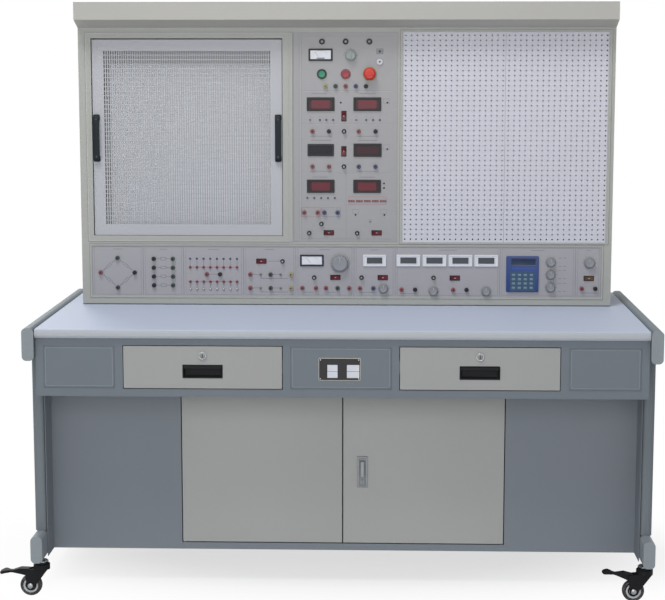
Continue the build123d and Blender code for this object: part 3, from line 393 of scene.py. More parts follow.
# Joins rings of equally many points into one closed skin. A slot may be one number, or one for
# each band with the last for the front cap.
def addSkin(shape, rings, place, slot=0):
    slots = slot if isinstance(slot, (list, tuple)) else [slot] * len(rings)
    loops = addLoops(shape, rings, place)
    shape.faces.new(list(reversed(loops[0]))).material_index = slots[0]
    for a, b, bandSlot in zip(loops, loops[1:], slots):
        addBand(shape, a, b, bandSlot)
    shape.faces.new(loops[-1]).material_index = slots[-1]


# The same without caps: the last ring joins the first, so the shape is open in its middle
def addCollar(shape, rings, place, slot=0):
    slots = slot if isinstance(slot, (list, tuple)) else [slot] * len(rings)
    loops = addLoops(shape, rings, place)
    for a, b, bandSlot in zip(loops, loops[1:] + loops[:1], slots):
        addBand(shape, a, b, bandSlot)


# A turned piece from its profile of radius and level pairs
def addTurned(shape, profile, place, slot=0, sides=24):
    addSkin(shape, [roundRing(radius, level, sides) for radius, level in profile], place, slot)


# A flat tile between two levels
def addTile(shape, width, height, low, high, place, slot=0, corner=1.0, steps=3, shift=(0, 0)):
    rings = [boxRing(width, height, level, corner, steps, shift) for level in (low, high)]
    addSkin(shape, rings, place, slot)


# A box between two corners with its edges eased
def addBlock(shape, low, high, slot=0, ease=0.4):
    width, depth, height = [b - a for a, b in zip(low, high)]
    ease = min(ease, min(width, depth, height) * 0.3)
    place = Matrix.Translation(((low[0] + high[0]) / 2, (low[1] + high[1]) / 2, low[2]))
    layers = [(2 * ease, 0, 0.05), (0, ease, ease), (0, height - ease, ease), (2 * ease, height, 0.05)]
    addSkin(shape, boxRings(width, depth, layers, 1), place, slot)


# A bar of a given section along a path in one plane. side is the direction square to that plane.
def addSweep(shape, path, side, width, thickness, corner):
    points = [Vector(p) for p in path]
    across = Vector(side).normalized()
    section = boxRing(width, thickness, 0, corner, 2)
    rings = []
    for i, point in enumerate(points):
        ahead = (points[min(i + 1, len(points) - 1)] - points[max(i - 1, 0)]).normalized()
        outward = ahead.cross(across)
        rings.append([point + across * x + outward * y for x, y, _ in section])
    addSkin(shape, rings, Matrix.Identity(4))


# Edges sharper than this stay sharp in the shading
sharpFrom = math.radians(35)


# Turns a shape in millimetres into a piece that rides on a body, dressed with the named finishes
def makePiece(name, shape, finishNames, body, replaced=()):
    bmesh.ops.recalc_face_normals(shape, faces=shape.faces)
    bmesh.ops.scale(shape, vec=(0.001, 0.001, 0.001), verts=shape.verts)
    mesh = bpy.data.meshes.new(name)
    shape.to_mesh(mesh)
    shape.free()
    for finish in finishNames:
        mesh.materials.append(finishes[finish])
    mesh.polygons.foreach_set("use_smooth", [True] * len(mesh.polygons))
    mesh.set_sharp_from_angle(angle=sharpFrom)
    piece = addObject(name, mesh)
    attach(piece, body)
    if replaced:
        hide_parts(*replaced)


# Middle and size, in mm, of each separate solid of a CAD node, in the order of its source
def looseParts(node):
    shape = bmesh.new()
    shape.from_mesh(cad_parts[node].data)
    bmesh.ops.remove_doubles(shape, verts=shape.verts, dist=1e-6)
    shape.verts.ensure_lookup_table()
    seen = set()
    parts = []
    for start in shape.verts:
        if start.index in seen:
            continue
        seen.add(start.index)
        waiting, found = [start], []
        while waiting:
            vert = waiting.pop()
            found.append(vert.co)
            for edge in vert.link_edges:
                other = edge.other_vert(vert)
                if other.index not in seen:
                    seen.add(other.index)
                    waiting.append(other)
        low = Vector([min(p[i] for p in found) for i in range(3)]) * 1000
        high = Vector([max(p[i] for p in found) for i in range(3)]) * 1000
        parts.append({"middle": (low + high) / 2, "size": high - low, "low": low, "high": high})
    shape.free()
    return parts


def boxOf(node):
    low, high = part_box(node)
    return low * 1000, high * 1000


# Place on the back of a part, in line with its middle
def behind(part):
    return facing(part["middle"].x, part["high"].y, part["middle"].z)


# CAD nodes that stay: their finish, and the width of the ease on their sheet edges
keptNodes = {
    "worktop": ("worktopLaminate", 0.0),
    "side_rails": ("tubePaint", 1.5),
    "uprights": ("postPaint", 0.0),
    "foot_rails": ("railPaint", 1.5),
    "drawer_unit": ("carcassPaint", 0.3),
    "drawer_runners": ("zinc", 0.0),
    "lower_cabinet": ("cabinetPaint", 0.4),
    "castor_stems": ("zinc", 0.5),
    "console_shell": ("consolePaint", 0.4),
    "console_frame": ("consolePaint", 0.4),
    "header": ("headerPaint", 0.4),
    "power_panel": ("powerSheet", 0.3),
    "module_panel": ("moduleSheet", 0.0),
    "power_supply": ("windings", 0.8),
    "left_drawer_lock": ("nickel", 0.3),
    "right_drawer_lock": ("nickel", 0.3),
    "door_latch_lever": ("nickel", 0.3),
}
for castor in ("front_left", "front_right", "rear_left", "rear_right"):
    keptNodes[castor + "_fork"] = ("castorPaint", 0.6)
for castor in ("front_left", "front_right"):
    keptNodes[castor + "_pedal"] = ("castorPaint", 0.8)
easing = {"segments": 2, "angle": math.radians(40)}


def dressNode(node, finish, ease):
    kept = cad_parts[node]
    kept.data.materials.clear()
    kept.data.materials.append(finishes[finish])
    if ease:
        rounding = kept.modifiers.new("easedEdges", "BEVEL")
        rounding.width = ease / 1000
        rounding.segments = easing["segments"]
        rounding.limit_method = "ANGLE"
        rounding.angle_limit = easing["angle"]


for nodeName, (finishName, easeWidth) in keptNodes.items():
    dressNode(nodeName, finishName, easeWidth)
print("CAD nodes dressed")


# Slotted board of the left bay: folded pan, a field of slots, two bar handles with end screws.
# The places of feet and screws are counted from the middle of a handle.
slottedBoard = {
    "columns": 73,
    "rows": 39,
    "field": (485, 503),
    "slot": (3.4, 10.8),
    "sheet": 1.5,
    "fold": 12,
    "pan": [(0, -12, 2), (0, -1.5, 2), (0.8, -0.4, 2), (3, 0, 0.3), (3, -12, 0.3)],
    "handleLength": 136,
    "bar": (17.48, 7),
    "barCorner": 2.2,
    "bend": 7,
    "reach": 16,
    "inset": 11.5,
    "foot": (19, 18),
    "footLayers": [(0, 0, 4), (0, 3.5, 4), (4, 5.5, 4)],
    "footPlace": 59,
    "screwPlace": 54,
    "screw": [(3.1, -0.5), (3.1, 0.3), (2.4, 0.7), (1.5, 0.7), (1.4, 0.1)],
}


def slotEdges(middle, span, count, opening):
    edges = []
    for i in range(count):
        centre = middle + (i - (count - 1) / 2) * span / count
        edges += [centre - opening / 2, centre + opening / 2]
    return edges


def addSlottedSheet(shape, xs, zs, front, back):
    layers = [[[shape.verts.new((x, y, z)) for z in zs] for x in xs] for y in (front, back)]

    def addWalls(outline):
        for (a, b), (c, d) in zip(outline, outline[1:] + outline[:1]):
            shape.faces.new((layers[0][a][b], layers[0][c][d], layers[1][c][d], layers[1][a][b]))

    lastX, lastZ = len(xs) - 1, len(zs) - 1
    for i in range(lastX):
        for j in range(lastZ):
            corners = [(i, j), (i + 1, j), (i + 1, j + 1), (i, j + 1)]
            if i % 2 and j % 2:
                addWalls(corners)
            else:
                for layer in layers:
                    shape.faces.new([layer[a][b] for a, b in corners])
    addWalls([(i, 0) for i in range(lastX)] + [(lastX, j) for j in range(lastZ)]
             + [(i, lastZ) for i in range(lastX, 0, -1)] + [(0, j) for j in range(lastZ, 0, -1)])


# From one foot round its bend, along the bar and back to the other foot
def handlePath(x, front, z):
    thickness, bend = slottedBoard["bar"][1], slottedBoard["bend"]
    outer = front - slottedBoard["reach"] + thickness / 2
    half = slottedBoard["handleLength"] / 2 - thickness / 2
    legs = []
    for end in (-1, 1):
        leg = [(x, front - 0.2, z + end * half)]
        for step in range(7):
            angle = math.radians(15 * step)
            along = half - bend * (1 - math.cos(angle))
            leg.append((x, outer + bend * (1 - math.sin(angle)), z + end * along))
        legs.append(leg)
    return legs[0] + list(reversed(legs[1]))


def makeSlottedBoard():
    low, high = boxOf("mesh_board")
    sheet, front = slottedBoard["sheet"], high.y - slottedBoard["fold"]
    middle = (low + high) / 2
    width, height = high.x - low.x, high.z - low.z
    (fieldWidth, fieldHeight), (slotWidth, slotHeight) = slottedBoard["field"], slottedBoard["slot"]
    xs = slotEdges(middle.x, fieldWidth, slottedBoard["columns"], slotWidth)
    zs = slotEdges(middle.z, fieldHeight, slottedBoard["rows"], slotHeight)
    shape = bmesh.new()
    addSlottedSheet(shape, [low.x + sheet] + xs + [high.x - sheet], [low.z + sheet] + zs + [high.z - sheet],
                    front, front + sheet)
    addCollar(shape, boxRings(width, height, slottedBoard["pan"], 2), facing(middle.x, front, middle.z))
    makePiece("slottedBoard", shape, ["boardPaint"], "mesh_board", ["mesh_board"])

    handles = bmesh.new()
    for side in (-1, 1):
        x = middle.x + side * (width / 2 - slottedBoard["inset"])
        path = handlePath(x, front, middle.z)
        addSweep(handles, path, (1, 0, 0), *slottedBoard["bar"], slottedBoard["barCorner"])
        for end in (-1, 1):
            foot = facing(x, front, middle.z + end * slottedBoard["footPlace"])
            addSkin(handles, boxRings(*slottedBoard["foot"], slottedBoard["footLayers"]), foot)
            screw = facing(x, front - slottedBoard["reach"], middle.z + end * slottedBoard["screwPlace"])
            addTurned(handles, slottedBoard["screw"], screw, 1, 16)
    makePiece("slottedBoardHandles", handles, ["handleAbs", "handleScrew"], "mesh_board", [])


makeSlottedBoard()
print("slotted board made")


# Backing sheet behind the slotted board: the pale field that the slots show. It leaves the first columns and
# the top rows bare, so that the darker console sheet shows there as painted shadow of the frame.
backingSheet = {"gap": 0.3, "thickness": 1.2, "margin": 4, "shadowColumns": 2.4, "shadowRows": 3.2}


def makeBacking():
    low, high = boxOf("mesh_board")
    sheets = [part for part in looseParts("console_shell") if part["size"].x < 700 and part["size"].y < 2]
    y = min(part["low"].y for part in sheets) - backingSheet["gap"]
    margin = backingSheet["margin"]
    middle = (low + high) / 2
    width, height = slottedBoard["field"]
    left = middle.x - width / 2 + backingSheet["shadowColumns"] * width / slottedBoard["columns"]
    top = middle.z + height / 2 - backingSheet["shadowRows"] * height / slottedBoard["rows"]
    shape = bmesh.new()
    addBlock(shape, (left, y - backingSheet["thickness"], low.z - margin), (high.x + margin, y, top))
    makePiece("boardBackingSheet", shape, ["backingPaint"], "bench", [])


makeBacking()


# Pegboards of the right bay: two sheets with round holes through them
pegboard = {"columns": 36, "rows": 42, "first": (172.5, 950.0), "last": (747.5, 1536.0), "holeRadius": 2.3}


def addPegSheet(shape, low, high, xs, zs):
    xCells = [low.x] + [(a + b) / 2 for a, b in zip(xs, xs[1:])] + [high.x]
    zCells = [low.z] + [(a + b) / 2 for a, b in zip(zs, zs[1:])] + [high.z]
    radius = pegboard["holeRadius"]
    shared = {}

    def corner(y, x, z):
        key = (round(x, 3), round(y, 3), round(z, 3))
        if key not in shared:
            shared[key] = shape.verts.new(key)
        return shared[key]

    for i, x in enumerate(xs):
        for j, z in enumerate(zs):
            x0, x1, z0, z1 = xCells[i], xCells[i + 1], zCells[j], zCells[j + 1]
            rim = [(x1, z), (x1, z1), (x, z1), (x0, z1), (x0, z), (x0, z0), (x, z0), (x1, z0)]
            turns = [math.pi * k / 4 for k in range(8)]
            hole = [(x + radius * math.cos(turn), z + radius * math.sin(turn)) for turn in turns]
            bands = ((rim, low.y, hole, low.y), (rim, high.y, hole, high.y), (hole, low.y, hole, high.y))
            for a, ya, b, yb in bands:
                for k in range(8):
                    m = (k + 1) % 8
                    points = (ya, *a[k]), (ya, *a[m]), (yb, *b[m]), (yb, *b[k])
                    shape.faces.new([corner(*point) for point in points])
    # The front's outline, whose edges still carry one face, gets the sheet's edge
    outline = [e for e in shape.edges if e.is_boundary and all(abs(v.co.y - low.y) < 0.01 for v in e.verts)]
    for a, b in [edge.verts for edge in outline]:
        shape.faces.new((a, b, corner(high.y, b.co.x, b.co.z), corner(high.y, a.co.x, a.co.z)))


def makePegboards():
    (firstX, firstZ), (lastX, lastZ) = pegboard["first"], pegboard["last"]
    columns, rows = pegboard["columns"], pegboard["rows"]
    xs = [firstX + i * (lastX - firstX) / (columns - 1) for i in range(columns)]
    zs = [firstZ + i * (lastZ - firstZ) / (rows - 1) for i in range(rows)]
    shape = bmesh.new()
    for part in looseParts("pegboards"):
        low, high = part["low"], part["high"]
        addPegSheet(shape, low, high, [x for x in xs if low.x < x < high.x], zs)
    makePiece("pegboardSheets", shape, ["pegPaint"], "bench", ["pegboards"])


makePegboards()
print("pegboards made")


# Binding posts and sockets. Colours follow the rows of the power panel, then the modules from the
# left, then the sockets.
terminals = {
    "colours": "yGrBk" "rkrk" "rrBB" "rrBB" "GrkG" "kGkGkGkG" "rk" "rGyrGy" "rrrGr" "rB" "rkrk" "rk"
               "rrrrrrrr" "rrrrrrrr" "gggg",
    "finishOf": {"r": "redAbs", "k": "blackAbs", "G": "darkGreenAbs", "g": "greyAbs", "B": "blueAbs",
                 "y": "yellowAbs"},
    "post": [(6.3, 0), (6.3, 1.6), (5.2, 1.9), (5.2, 2.6), (6.0, 3.0), (6.0, 8.0), (5.2, 8.9), (2.3, 9.0),
             (2.1, 5.0)],
    "grip": (3.0, 8.0),
    "flute": 0.28,
    "flutes": 12,
    "socket": [(4.0, 0), (4.0, 2.6), (3.4, 3.4), (3.2, 4.6), (2.7, 5.0), (1.5, 5.0), (1.3, 2.0)],
    "socketDepth": 7,
}


def makeTerminals():
    keys = list(terminals["finishOf"])
    gripLow, gripHigh = terminals["grip"]
    shape = bmesh.new()
    for part, colour in zip(looseParts("terminals"), terminals["colours"]):
        place, slot = behind(part), keys.index(colour)
        if part["size"].y < terminals["socketDepth"]:
            addTurned(shape, terminals["socket"], place, [slot] * 5 + [1] * 2, 14)
            continue
        rings = []
        for radius, level in terminals["post"]:
            flute = terminals["flute"] if gripLow <= level <= gripHigh else 0.0
            rings.append(roundRing(radius, level, 36, flute, terminals["flutes"]))
        addSkin(shape, rings, place, [slot] * 7 + [1] * 2)
    makePiece("bindingPosts", shape, [terminals["finishOf"][key] for key in keys], "bench", ["terminals"])


makeTerminals()


# Fuse holders: a black collar and a ribbed cap with a bright contact in its middle
fuse = {
    "profile": [(6.6, 0), (6.6, 2.2), (5.9, 2.8), (5.3, 3.0), (5.2, 8.6), (4.4, 9.8), (3.0, 10.0),
                (2.8, 9.2)],
    "ribs": 8,
    "rib": (1.0, 1.2),
    "ribLength": 5.2,
    "ribPlace": (5.2, 0, 3),
}


def makeFuseHolders():
    shape = bmesh.new()
    for part in looseParts("fuse_holders"):
        place = behind(part)
        addTurned(shape, fuse["profile"], place, [0] * 6 + [1] * 2)
        for number in range(fuse["ribs"]):
            turned = place @ Matrix.Rotation(2 * math.pi * number / fuse["ribs"], 4, "Z")
            addTile(shape, *fuse["rib"], 0, fuse["ribLength"], shifted(turned, *fuse["ribPlace"]), 0, 0.2, 1)
    makePiece("fuseHolders", shape, ["blackAbs", "fuseContact"], "bench", ["fuse_holders"])


makeFuseHolders()
print("terminals and fuse holders made")


# Panel meters. Each margin is what the window leaves of the meter's width and height.
meter = {
    "rise": 4.0,
    "floor": 2.2,
    "case": [(8, -42, 1), (8, 0, 1), (0, 0.05, 1.6), (0, 3.0, 1.6), (1.6, 4.0, 1.6)],
    "well": [(0, 4.0, 1), (1.2, 2.2, 1)],
    "ledBezel": 6.0,
    "ledMargin": (27, 14),
    "ledField": (-0.3, 0.35),
    "ledDrop": (0, -0.5),
    "ledSlots": {3: (3, 3), 4: (1, 1)},
    "lcdBezel": 3.2,
    "lcdMargin": (21, 15),
    "lcdFrame": [(-3, 1.9, 1), (-3, 3.6, 1), (0, 3.6, 0.8), (1, 2.7, 0.8)],
    "dialBezel": 4.5,
    "dialMargin": 11,
    "dialFace": (-0.4, 0.3),
    "dialSweep": (-38, 38),
    "dialTicks": 10,
    "pivotDrop": 0.62,
    "dialRadius": 1.18,
    # Width, level and thickness, then the lengths of small and large ticks, or the needle's length
    # and far end as shares of the radius
    "tick": (0.7, 0.3, 0.12, 2.0, 3.2),
    "needle": (0.6, 0.6, 0.3, 0.62, 0.94),
    "needleTurn": -34,
    "cover": (0.4, 3.4, 1.0),
    "coverPlace": (2.2, 0.3),
}


# The black case, its stepped bezel and the recessed window of a meter
def addMeterCase(shape, part, bezel, slots):
    width, height = part["size"].x, part["size"].z
    place = facing(part["middle"].x, part["low"].y + meter["rise"], part["middle"].z)
    caseSlot, bezelSlot, windowSlot = slots
    rings = boxRings(width, height, meter["case"])
    rings += boxRings(width - 2 * bezel, height - 2 * bezel, meter["well"])
    addSkin(shape, rings, place, [caseSlot] * 2 + [bezelSlot] * 4 + [windowSlot])
    return place


# Pale face, scale with ticks, needle and pivot cover of an analog meter
def addDial(shape, part, place, faceSlot, inkSlot, coverSlot):
    width, height = part["size"].x - meter["dialMargin"], part["size"].z - meter["dialMargin"]
    level = meter["floor"]
    addTile(shape, width, height, level + meter["dialFace"][0], level + meter["dialFace"][1], place, faceSlot)
    start, end = meter["dialSweep"]
    radius, ticks = height * meter["dialRadius"], meter["dialTicks"]
    thick, rise, depth, small, large = meter["tick"]
    marks = [(start + (end - start) * tick / ticks, thick, rise, depth, small if tick % 5 else large, radius)
             for tick in range(ticks + 1)]
    thick, rise, depth, length, reach = meter["needle"]
    marks.append((meter["needleTurn"], thick, rise, depth, radius * length, radius * reach))
    for turn, thick, rise, depth, length, reach in marks:
        angle = math.radians(turn)
        out, pivot = reach - length / 2, -height * meter["pivotDrop"]
        spot = shifted(place, out * math.sin(angle), out * math.cos(angle) + pivot, level + rise)
        addTile(shape, thick, length, 0, depth, spot @ Matrix.Rotation(-angle, 4, "Z"), inkSlot, 0.1, 1)
    (share, coverHeight, depth), (up, rise) = meter["cover"], meter["coverPlace"]
    cover = shifted(place, 0, up - height / 2, level + rise)
    addTile(shape, width * share, coverHeight, 0, depth, cover, coverSlot)


def makePowerMeters():
    shape = bmesh.new()
    for number, part in enumerate(looseParts("power_meters")):
        if number == 0:
            place = addMeterCase(shape, part, meter["dialBezel"], (0, 0, 4))
            addDial(shape, part, place, faceSlot=4, inkSlot=5, coverSlot=5)
            continue
        windowSlot, fieldSlot = meter["ledSlots"].get(number, (1, 2))
        place = addMeterCase(shape, part, meter["ledBezel"], (0, 0, windowSlot))
        low, high = [meter["floor"] + level for level in meter["ledField"]]
        width, height = part["size"].x - meter["ledMargin"][0], part["size"].z - meter["ledMargin"][1]
        addTile(shape, width, height, low, high, place, fieldSlot, shift=meter["ledDrop"])
    skins = ["blackAbs", "redAcrylic", "litAcrylic", "smokeAcrylic", "whiteAbs", "softPrint"]
    makePiece("powerMeters", shape, skins, "bench", ["power_meters"])


def makeModuleMeters():
    shape = bmesh.new()
    for number, part in enumerate(looseParts("module_meters")):
        if number == 0:
            place = addMeterCase(shape, part, meter["dialBezel"], (0, 4, 2))
            addDial(shape, part, place, faceSlot=2, inkSlot=3, coverSlot=2)
            continue
        place = addMeterCase(shape, part, meter["lcdBezel"], (0, 2, 2))
        width, height = part["size"].x - meter["lcdMargin"][0], part["size"].z - meter["lcdMargin"][1]
        addSkin(shape, boxRings(width, height, meter["lcdFrame"]), place, [2, 2, 2, 1])
    skins = ["blackAbs", "lcdGlass", "whiteAbs", "softPrint", "navyAbs"]
    makePiece("moduleMeters", shape, skins, "bench", ["module_meters"])


makePowerMeters()
makeModuleMeters()
print("meters made")


# Keypad unit: blue case, screen with its frame and sixteen membrane keys
keypad = {
    "case": [(0, 0, 3), (0, 4.8, 3), (0.8, 5.6, 3), (2.4, 6, 3)],
    "rise": 6,
    "screen": (70, 18),
    "screenPlace": (3, 35.5),
    "screenFrame": [(-6, -0.5, 2), (-6, 0.4, 2), (0, 0.4, 1), (1, 0.05, 1)],
    "field": (72, 56, -0.4, 0.25),
    "fieldPlace": (0, -21),
    "strip": (62, 4, -0.2, 0.2),
    "stripPlace": (0, 17.5),
    "keys": 4,
    "keyPitch": (17.2, 12.6),
    "keySize": (9.8, 6.6),
    "key": [(0, 0, 1.5), (0, 0.7, 1.5), (1.4, 1.1, 1)],
}


def makeKeypad():
    part = max(looseParts("keypad_unit"), key=lambda solid: solid["size"].x)
    place = behind(part)
    shape = bmesh.new()
    addSkin(shape, boxRings(part["size"].x, part["size"].z, keypad["case"]), place, 0)
    front = shifted(place, 0, 0, keypad["rise"])
    screen = shifted(front, *keypad["screenPlace"])
    addSkin(shape, boxRings(*keypad["screen"], keypad["screenFrame"]), screen, [4, 4, 4, 1])
    field = shifted(front, *keypad["fieldPlace"])
    addTile(shape, *keypad["field"], field, 2, 2)
    addTile(shape, *keypad["strip"], shifted(front, *keypad["stripPlace"]), 5)
    across, up = keypad["keyPitch"]
    middle = (keypad["keys"] - 1) / 2
    for column in range(keypad["keys"]):
        for row in range(keypad["keys"]):
            spot = shifted(field, (column - middle) * across, (row - middle) * up)
            addSkin(shape, boxRings(*keypad["keySize"], keypad["key"]), spot, 3)
    skins = ["keypadAbs", "screenGlass", "membraneBlue", "membraneKey", "blueAbs", "membraneStrip"]
    makePiece("keypadUnit", shape, skins, "bench", ["keypad_unit"])


makeKeypad()
print("keypad made")


# Small fixed fittings: keys, marker lamps, signal lamps, toggles, switch rings and rocker frames.
# The CAD node holds them in this order.
fittings = {
    "order": [("rangeKey", 18), ("marker", 7), ("moduleMarker", 8), ("lamp", 3), ("toggle", 8),
              ("powerToggle", 1), ("keySwitch", 1), ("bellPush", 1), ("startRing", 1), ("haltRing", 1),
              ("stopRing", 1), ("rockerFrame", 9)],
    "finishes": ["blackAbs", "greyAbs", "redAbs", "whiteAbs", "chrome", "darkGreenAbs", "yellowAbs", "keyRed",
                 "blueAbs", "lampDome", "paleAbs"],
    "redKeys": (0, 4, 13, 14, 15, 16, 17),
    "firstTriple": 13,
    "roundKey": [(3.5, 0), (3.5, 0.8), (2.6, 1.0), (2.6, 2.6), (2.1, 3.0)],
    "tripleKey": (5.8, 5.0),
    "tripleLayers": [(0, 0, 0.8), (0, 2.4, 0.8), (1.2, 3.0, 0.8)],
    "triplePlaces": (-6.6, 0, 6.6),
    "markers": {"marker": (2.6, 0), "moduleMarker": (3.3, 8)},
    "lampWall": 4.4,
    "lampSink": 0.9,
    "dome": [(4.2, 0), (4.2, 2.8), (3.5, 4.2), (2.0, 5.0), (0.7, 5.2)],
    "toggleNut": [(4.0, 0), (4.0, 1.4), (3.2, 1.9), (2.4, 1.9), (2.2, 1.2)],
    "lever": [(1.3, 1.0), (1.6, 4.6), (1.9, 5.4), (1.2, 5.9)],
    "leverTilt": math.radians(-14),
    "keyWall": 2.4,
    "barrel": [(6.2, 0), (6.2, 2.0), (5.4, 2.4), (2.8, 2.4), (2.6, 1.9)],
    "keyway": (1.2, 4.0, 0, 0.3),
    "keywayLevel": 2.3,
    "push": [(0, 0, 1.2), (0, 1.2, 1.2), (1, 1.7, 1)],
    "pushButton": [(2.8, 1.6), (2.8, 2.6), (2.0, 3.0)],
    "rings": {"startRing": (11.4, 5), "haltRing": (11.4, 7), "stopRing": (9.4, 6)},
}


# An open collar: up the outside, over the rim and down the inside
def addRing(shape, place, outer, inner, height, slot, sides=28):
    profile = [(outer, 0), (outer, height - 0.8), (outer - 0.8, height), (inner + 0.5, height),
               (inner, height - 0.5), (inner, 0)]
    addCollar(shape, [roundRing(radius, level, sides) for radius, level in profile], place, slot)


def addFitting(shape, kind, number, part):
    place = behind(part)
    width, height, rise = part["size"].x, part["size"].z, part["size"].y
    if kind == "rangeKey":
        slot = 7 if number in fittings["redKeys"] else 8
        if number < fittings["firstTriple"]:
            addTurned(shape, fittings["roundKey"], place, [1, 1, slot, slot, slot], 16)
        else:
            rings = boxRings(*fittings["tripleKey"], fittings["tripleLayers"], 2)
            for x in fittings["triplePlaces"]:
                addSkin(shape, rings, shifted(place, x, 0), slot)
    elif kind in fittings["markers"]:
        reach, slot = fittings["markers"][kind]
        addTurned(shape, [(reach, 0), (reach, 0.7), (reach - 0.8, 1.3), (0.6, 1.5)], place, slot, 16)
    elif kind == "lamp":
        addRing(shape, place, width / 2, width / 2 - fittings["lampWall"], rise - fittings["lampSink"], 0)
        addTurned(shape, fittings["dome"], place, 9, 20)
    elif kind in ("toggle", "powerToggle"):
        addTurned(shape, fittings["toggleNut"], place, 1, 12)
        # The levers are white and pale plastic as a painted highlight: they stand in for the glint on bright
        # metal levers
        lever = place @ Matrix.Rotation(fittings["leverTilt"], 4, "X")
        addTurned(shape, fittings["lever"], lever, 3 if kind == "toggle" else 10, 12)
    elif kind == "keySwitch":
        addRing(shape, place, width / 2, width / 2 - fittings["keyWall"], rise, 3)
        addTurned(shape, fittings["barrel"], place, [3, 3, 3, 3, 0], 20)
        addTile(shape, *fittings["keyway"], shifted(place, 0, 0, fittings["keywayLevel"]), 0, 0.3, 1)
    elif kind == "bellPush":
        addSkin(shape, boxRings(width, height, fittings["push"]), place, 1)
        addTurned(shape, fittings["pushButton"], place, 0, 16)
    elif kind in fittings["rings"]:
        inner, slot = fittings["rings"][kind]
        addRing(shape, place, width / 2, inner, rise, slot, 36)
    elif kind == "rockerFrame":
        layers = [(0, 0, 1.2), (0, rise - 0.6, 1.2), (1.0, rise, 1), (3.6, rise, 0.5), (4.0, rise - 0.5, 0.5),
                  (4.0, 0, 0.5)]
        addCollar(shape, boxRings(width, height, layers), place)


def makeFittings():
    parts = iter(looseParts("panel_fittings"))
    shape = bmesh.new()
    for kind, count in fittings["order"]:
        for number in range(count):
            addFitting(shape, kind, number, next(parts))
    makePiece("panelFittings", shape, fittings["finishes"], "bench", ["panel_fittings"])


makeFittings()
print("fittings made")


# Rockers: moulded paddles with a dished V face; each keeps the tilt it has at rest. A pale bar
# lies in the middle of each, along its paddle.
rocker = {
    "red": ["power_rocker_upper", "power_rocker_middle", "power_rocker_left", "power_rocker_right",
            "relay_rocker", "transformer_rocker", "ammeter_rocker", "supply_rocker"],
    "amber": ["tacho_rocker"],
    "ease": 0.35,
    "mark": (5.0, 1.7),
    "markRoot": 3.2,
    "markRise": 2.0,
}


def makeRockerMark(node):
    low, high = boxOf(node)
    size, middle = high - low, (low + high) / 2
    bar = reversed(rocker["mark"]) if size.z > size.x else rocker["mark"]
    place = facing(middle.x, low.y + rocker["markRoot"], middle.z)
    shape = bmesh.new()
    addTile(shape, *bar, 0, rocker["markRise"], place, 0, 0.4, 2)
    makePiece(node + "_mark", shape, ["lightPrint"], node, [])


for colour in ("red", "amber"):
    for rockerNode in rocker[colour]:
        dressNode(rockerNode, "rockerAcrylic" if colour == "red" else "amberAcrylic", rocker["ease"])
        makeRockerMark(rockerNode)


# Knobs, grey unless finishOf says otherwise. Grips and pointers are shares of the knob's radius,
# and the top's levels are counted down from its rise.
knob = {
    "nodes": ["selector_knob", "transformer_dial", "ammeter_knob", "supply_knob_left", "supply_knob_right",
              "generator_knob_upper", "generator_knob_middle", "generator_knob_lower", "tacho_knob"],
    "finishOf": {"selector_knob": "darkGreyAbs", "transformer_dial": "knobCap"},
    "sides": 60,
    "flutes": 15,
    "flute": 0.035,
    "grip": 0.82,
    "skirt": [(1.0, 0.7), (1.0, 2.4), (0.93, 3.2)],
    "gripLow": [(1.0, 3.0), (1.0, 3.4)],
    "gripTop": [(0.94, 3.0), (0.88, 2.0)],
    "cap": [(0.80, 1.6), (0.72, 1.9)],
    "wing": [(6.5, 1.5, 0), (6.0, 1.4, 2.0), (4.6, 1.3, 2.6)],
    "wingDrop": 2.2,
    "pointer": (1.8, 0.7, 0.9),
    "pointerPlace": (0.52, 2.0),
    "shaft": [(2.9, -14), (2.9, 1.0)],
}
panelFace = boxOf("module_meters")[0].y + meter["rise"]


def makeKnob(node, finish):
    low, high = boxOf(node)
    radius = (high.x - low.x) / 2
    rise = panelFace - low.y - 0.5
    sides, grip = knob["sides"], radius * knob["grip"]
    place = facing((low.x + high.x) / 2, panelFace, (low.z + high.z) / 2)
    shape = bmesh.new()
    addTurned(shape, [(radius * share, level) for share, level in knob["skirt"]], place, 0, sides)
    fluted = knob["gripLow"] + [(share, rise - drop) for share, drop in knob["gripTop"]]
    flute = radius * knob["flute"]
    rings = [roundRing(grip * share, level, sides, flute, knob["flutes"]) for share, level in fluted]
    rings += [roundRing(grip * share, rise - drop, sides) for share, drop in knob["cap"]]
    addSkin(shape, rings, place, [0] * 5 + [1])
    isSelector = node == "selector_knob"
    if isSelector:
        rings = [boxRing(width, radius * share, level, 2) for width, share, level in knob["wing"]]
        addSkin(shape, rings, shifted(place, 0, 0, rise - knob["wingDrop"]), 0)
    (width, length, thickness), (out, drop) = knob["pointer"], knob["pointerPlace"]
    addTile(shape, width, grip * length, 0, thickness, shifted(place, 0, grip * out, rise - drop), 2, 0.4, 1)
    addTurned(shape, knob["shaft"], place, 3, 16)
    top, mark = (finish, finish) if isSelector else ("knobCap", "lightPrint")
    makePiece(node + "_cap", shape, [finish, top, mark, "zinc"], node, [node])


for knobNode in knob["nodes"]:
    makeKnob(knobNode, knob["finishOf"].get(knobNode, "greyAbs"))
print("knobs and rockers made")


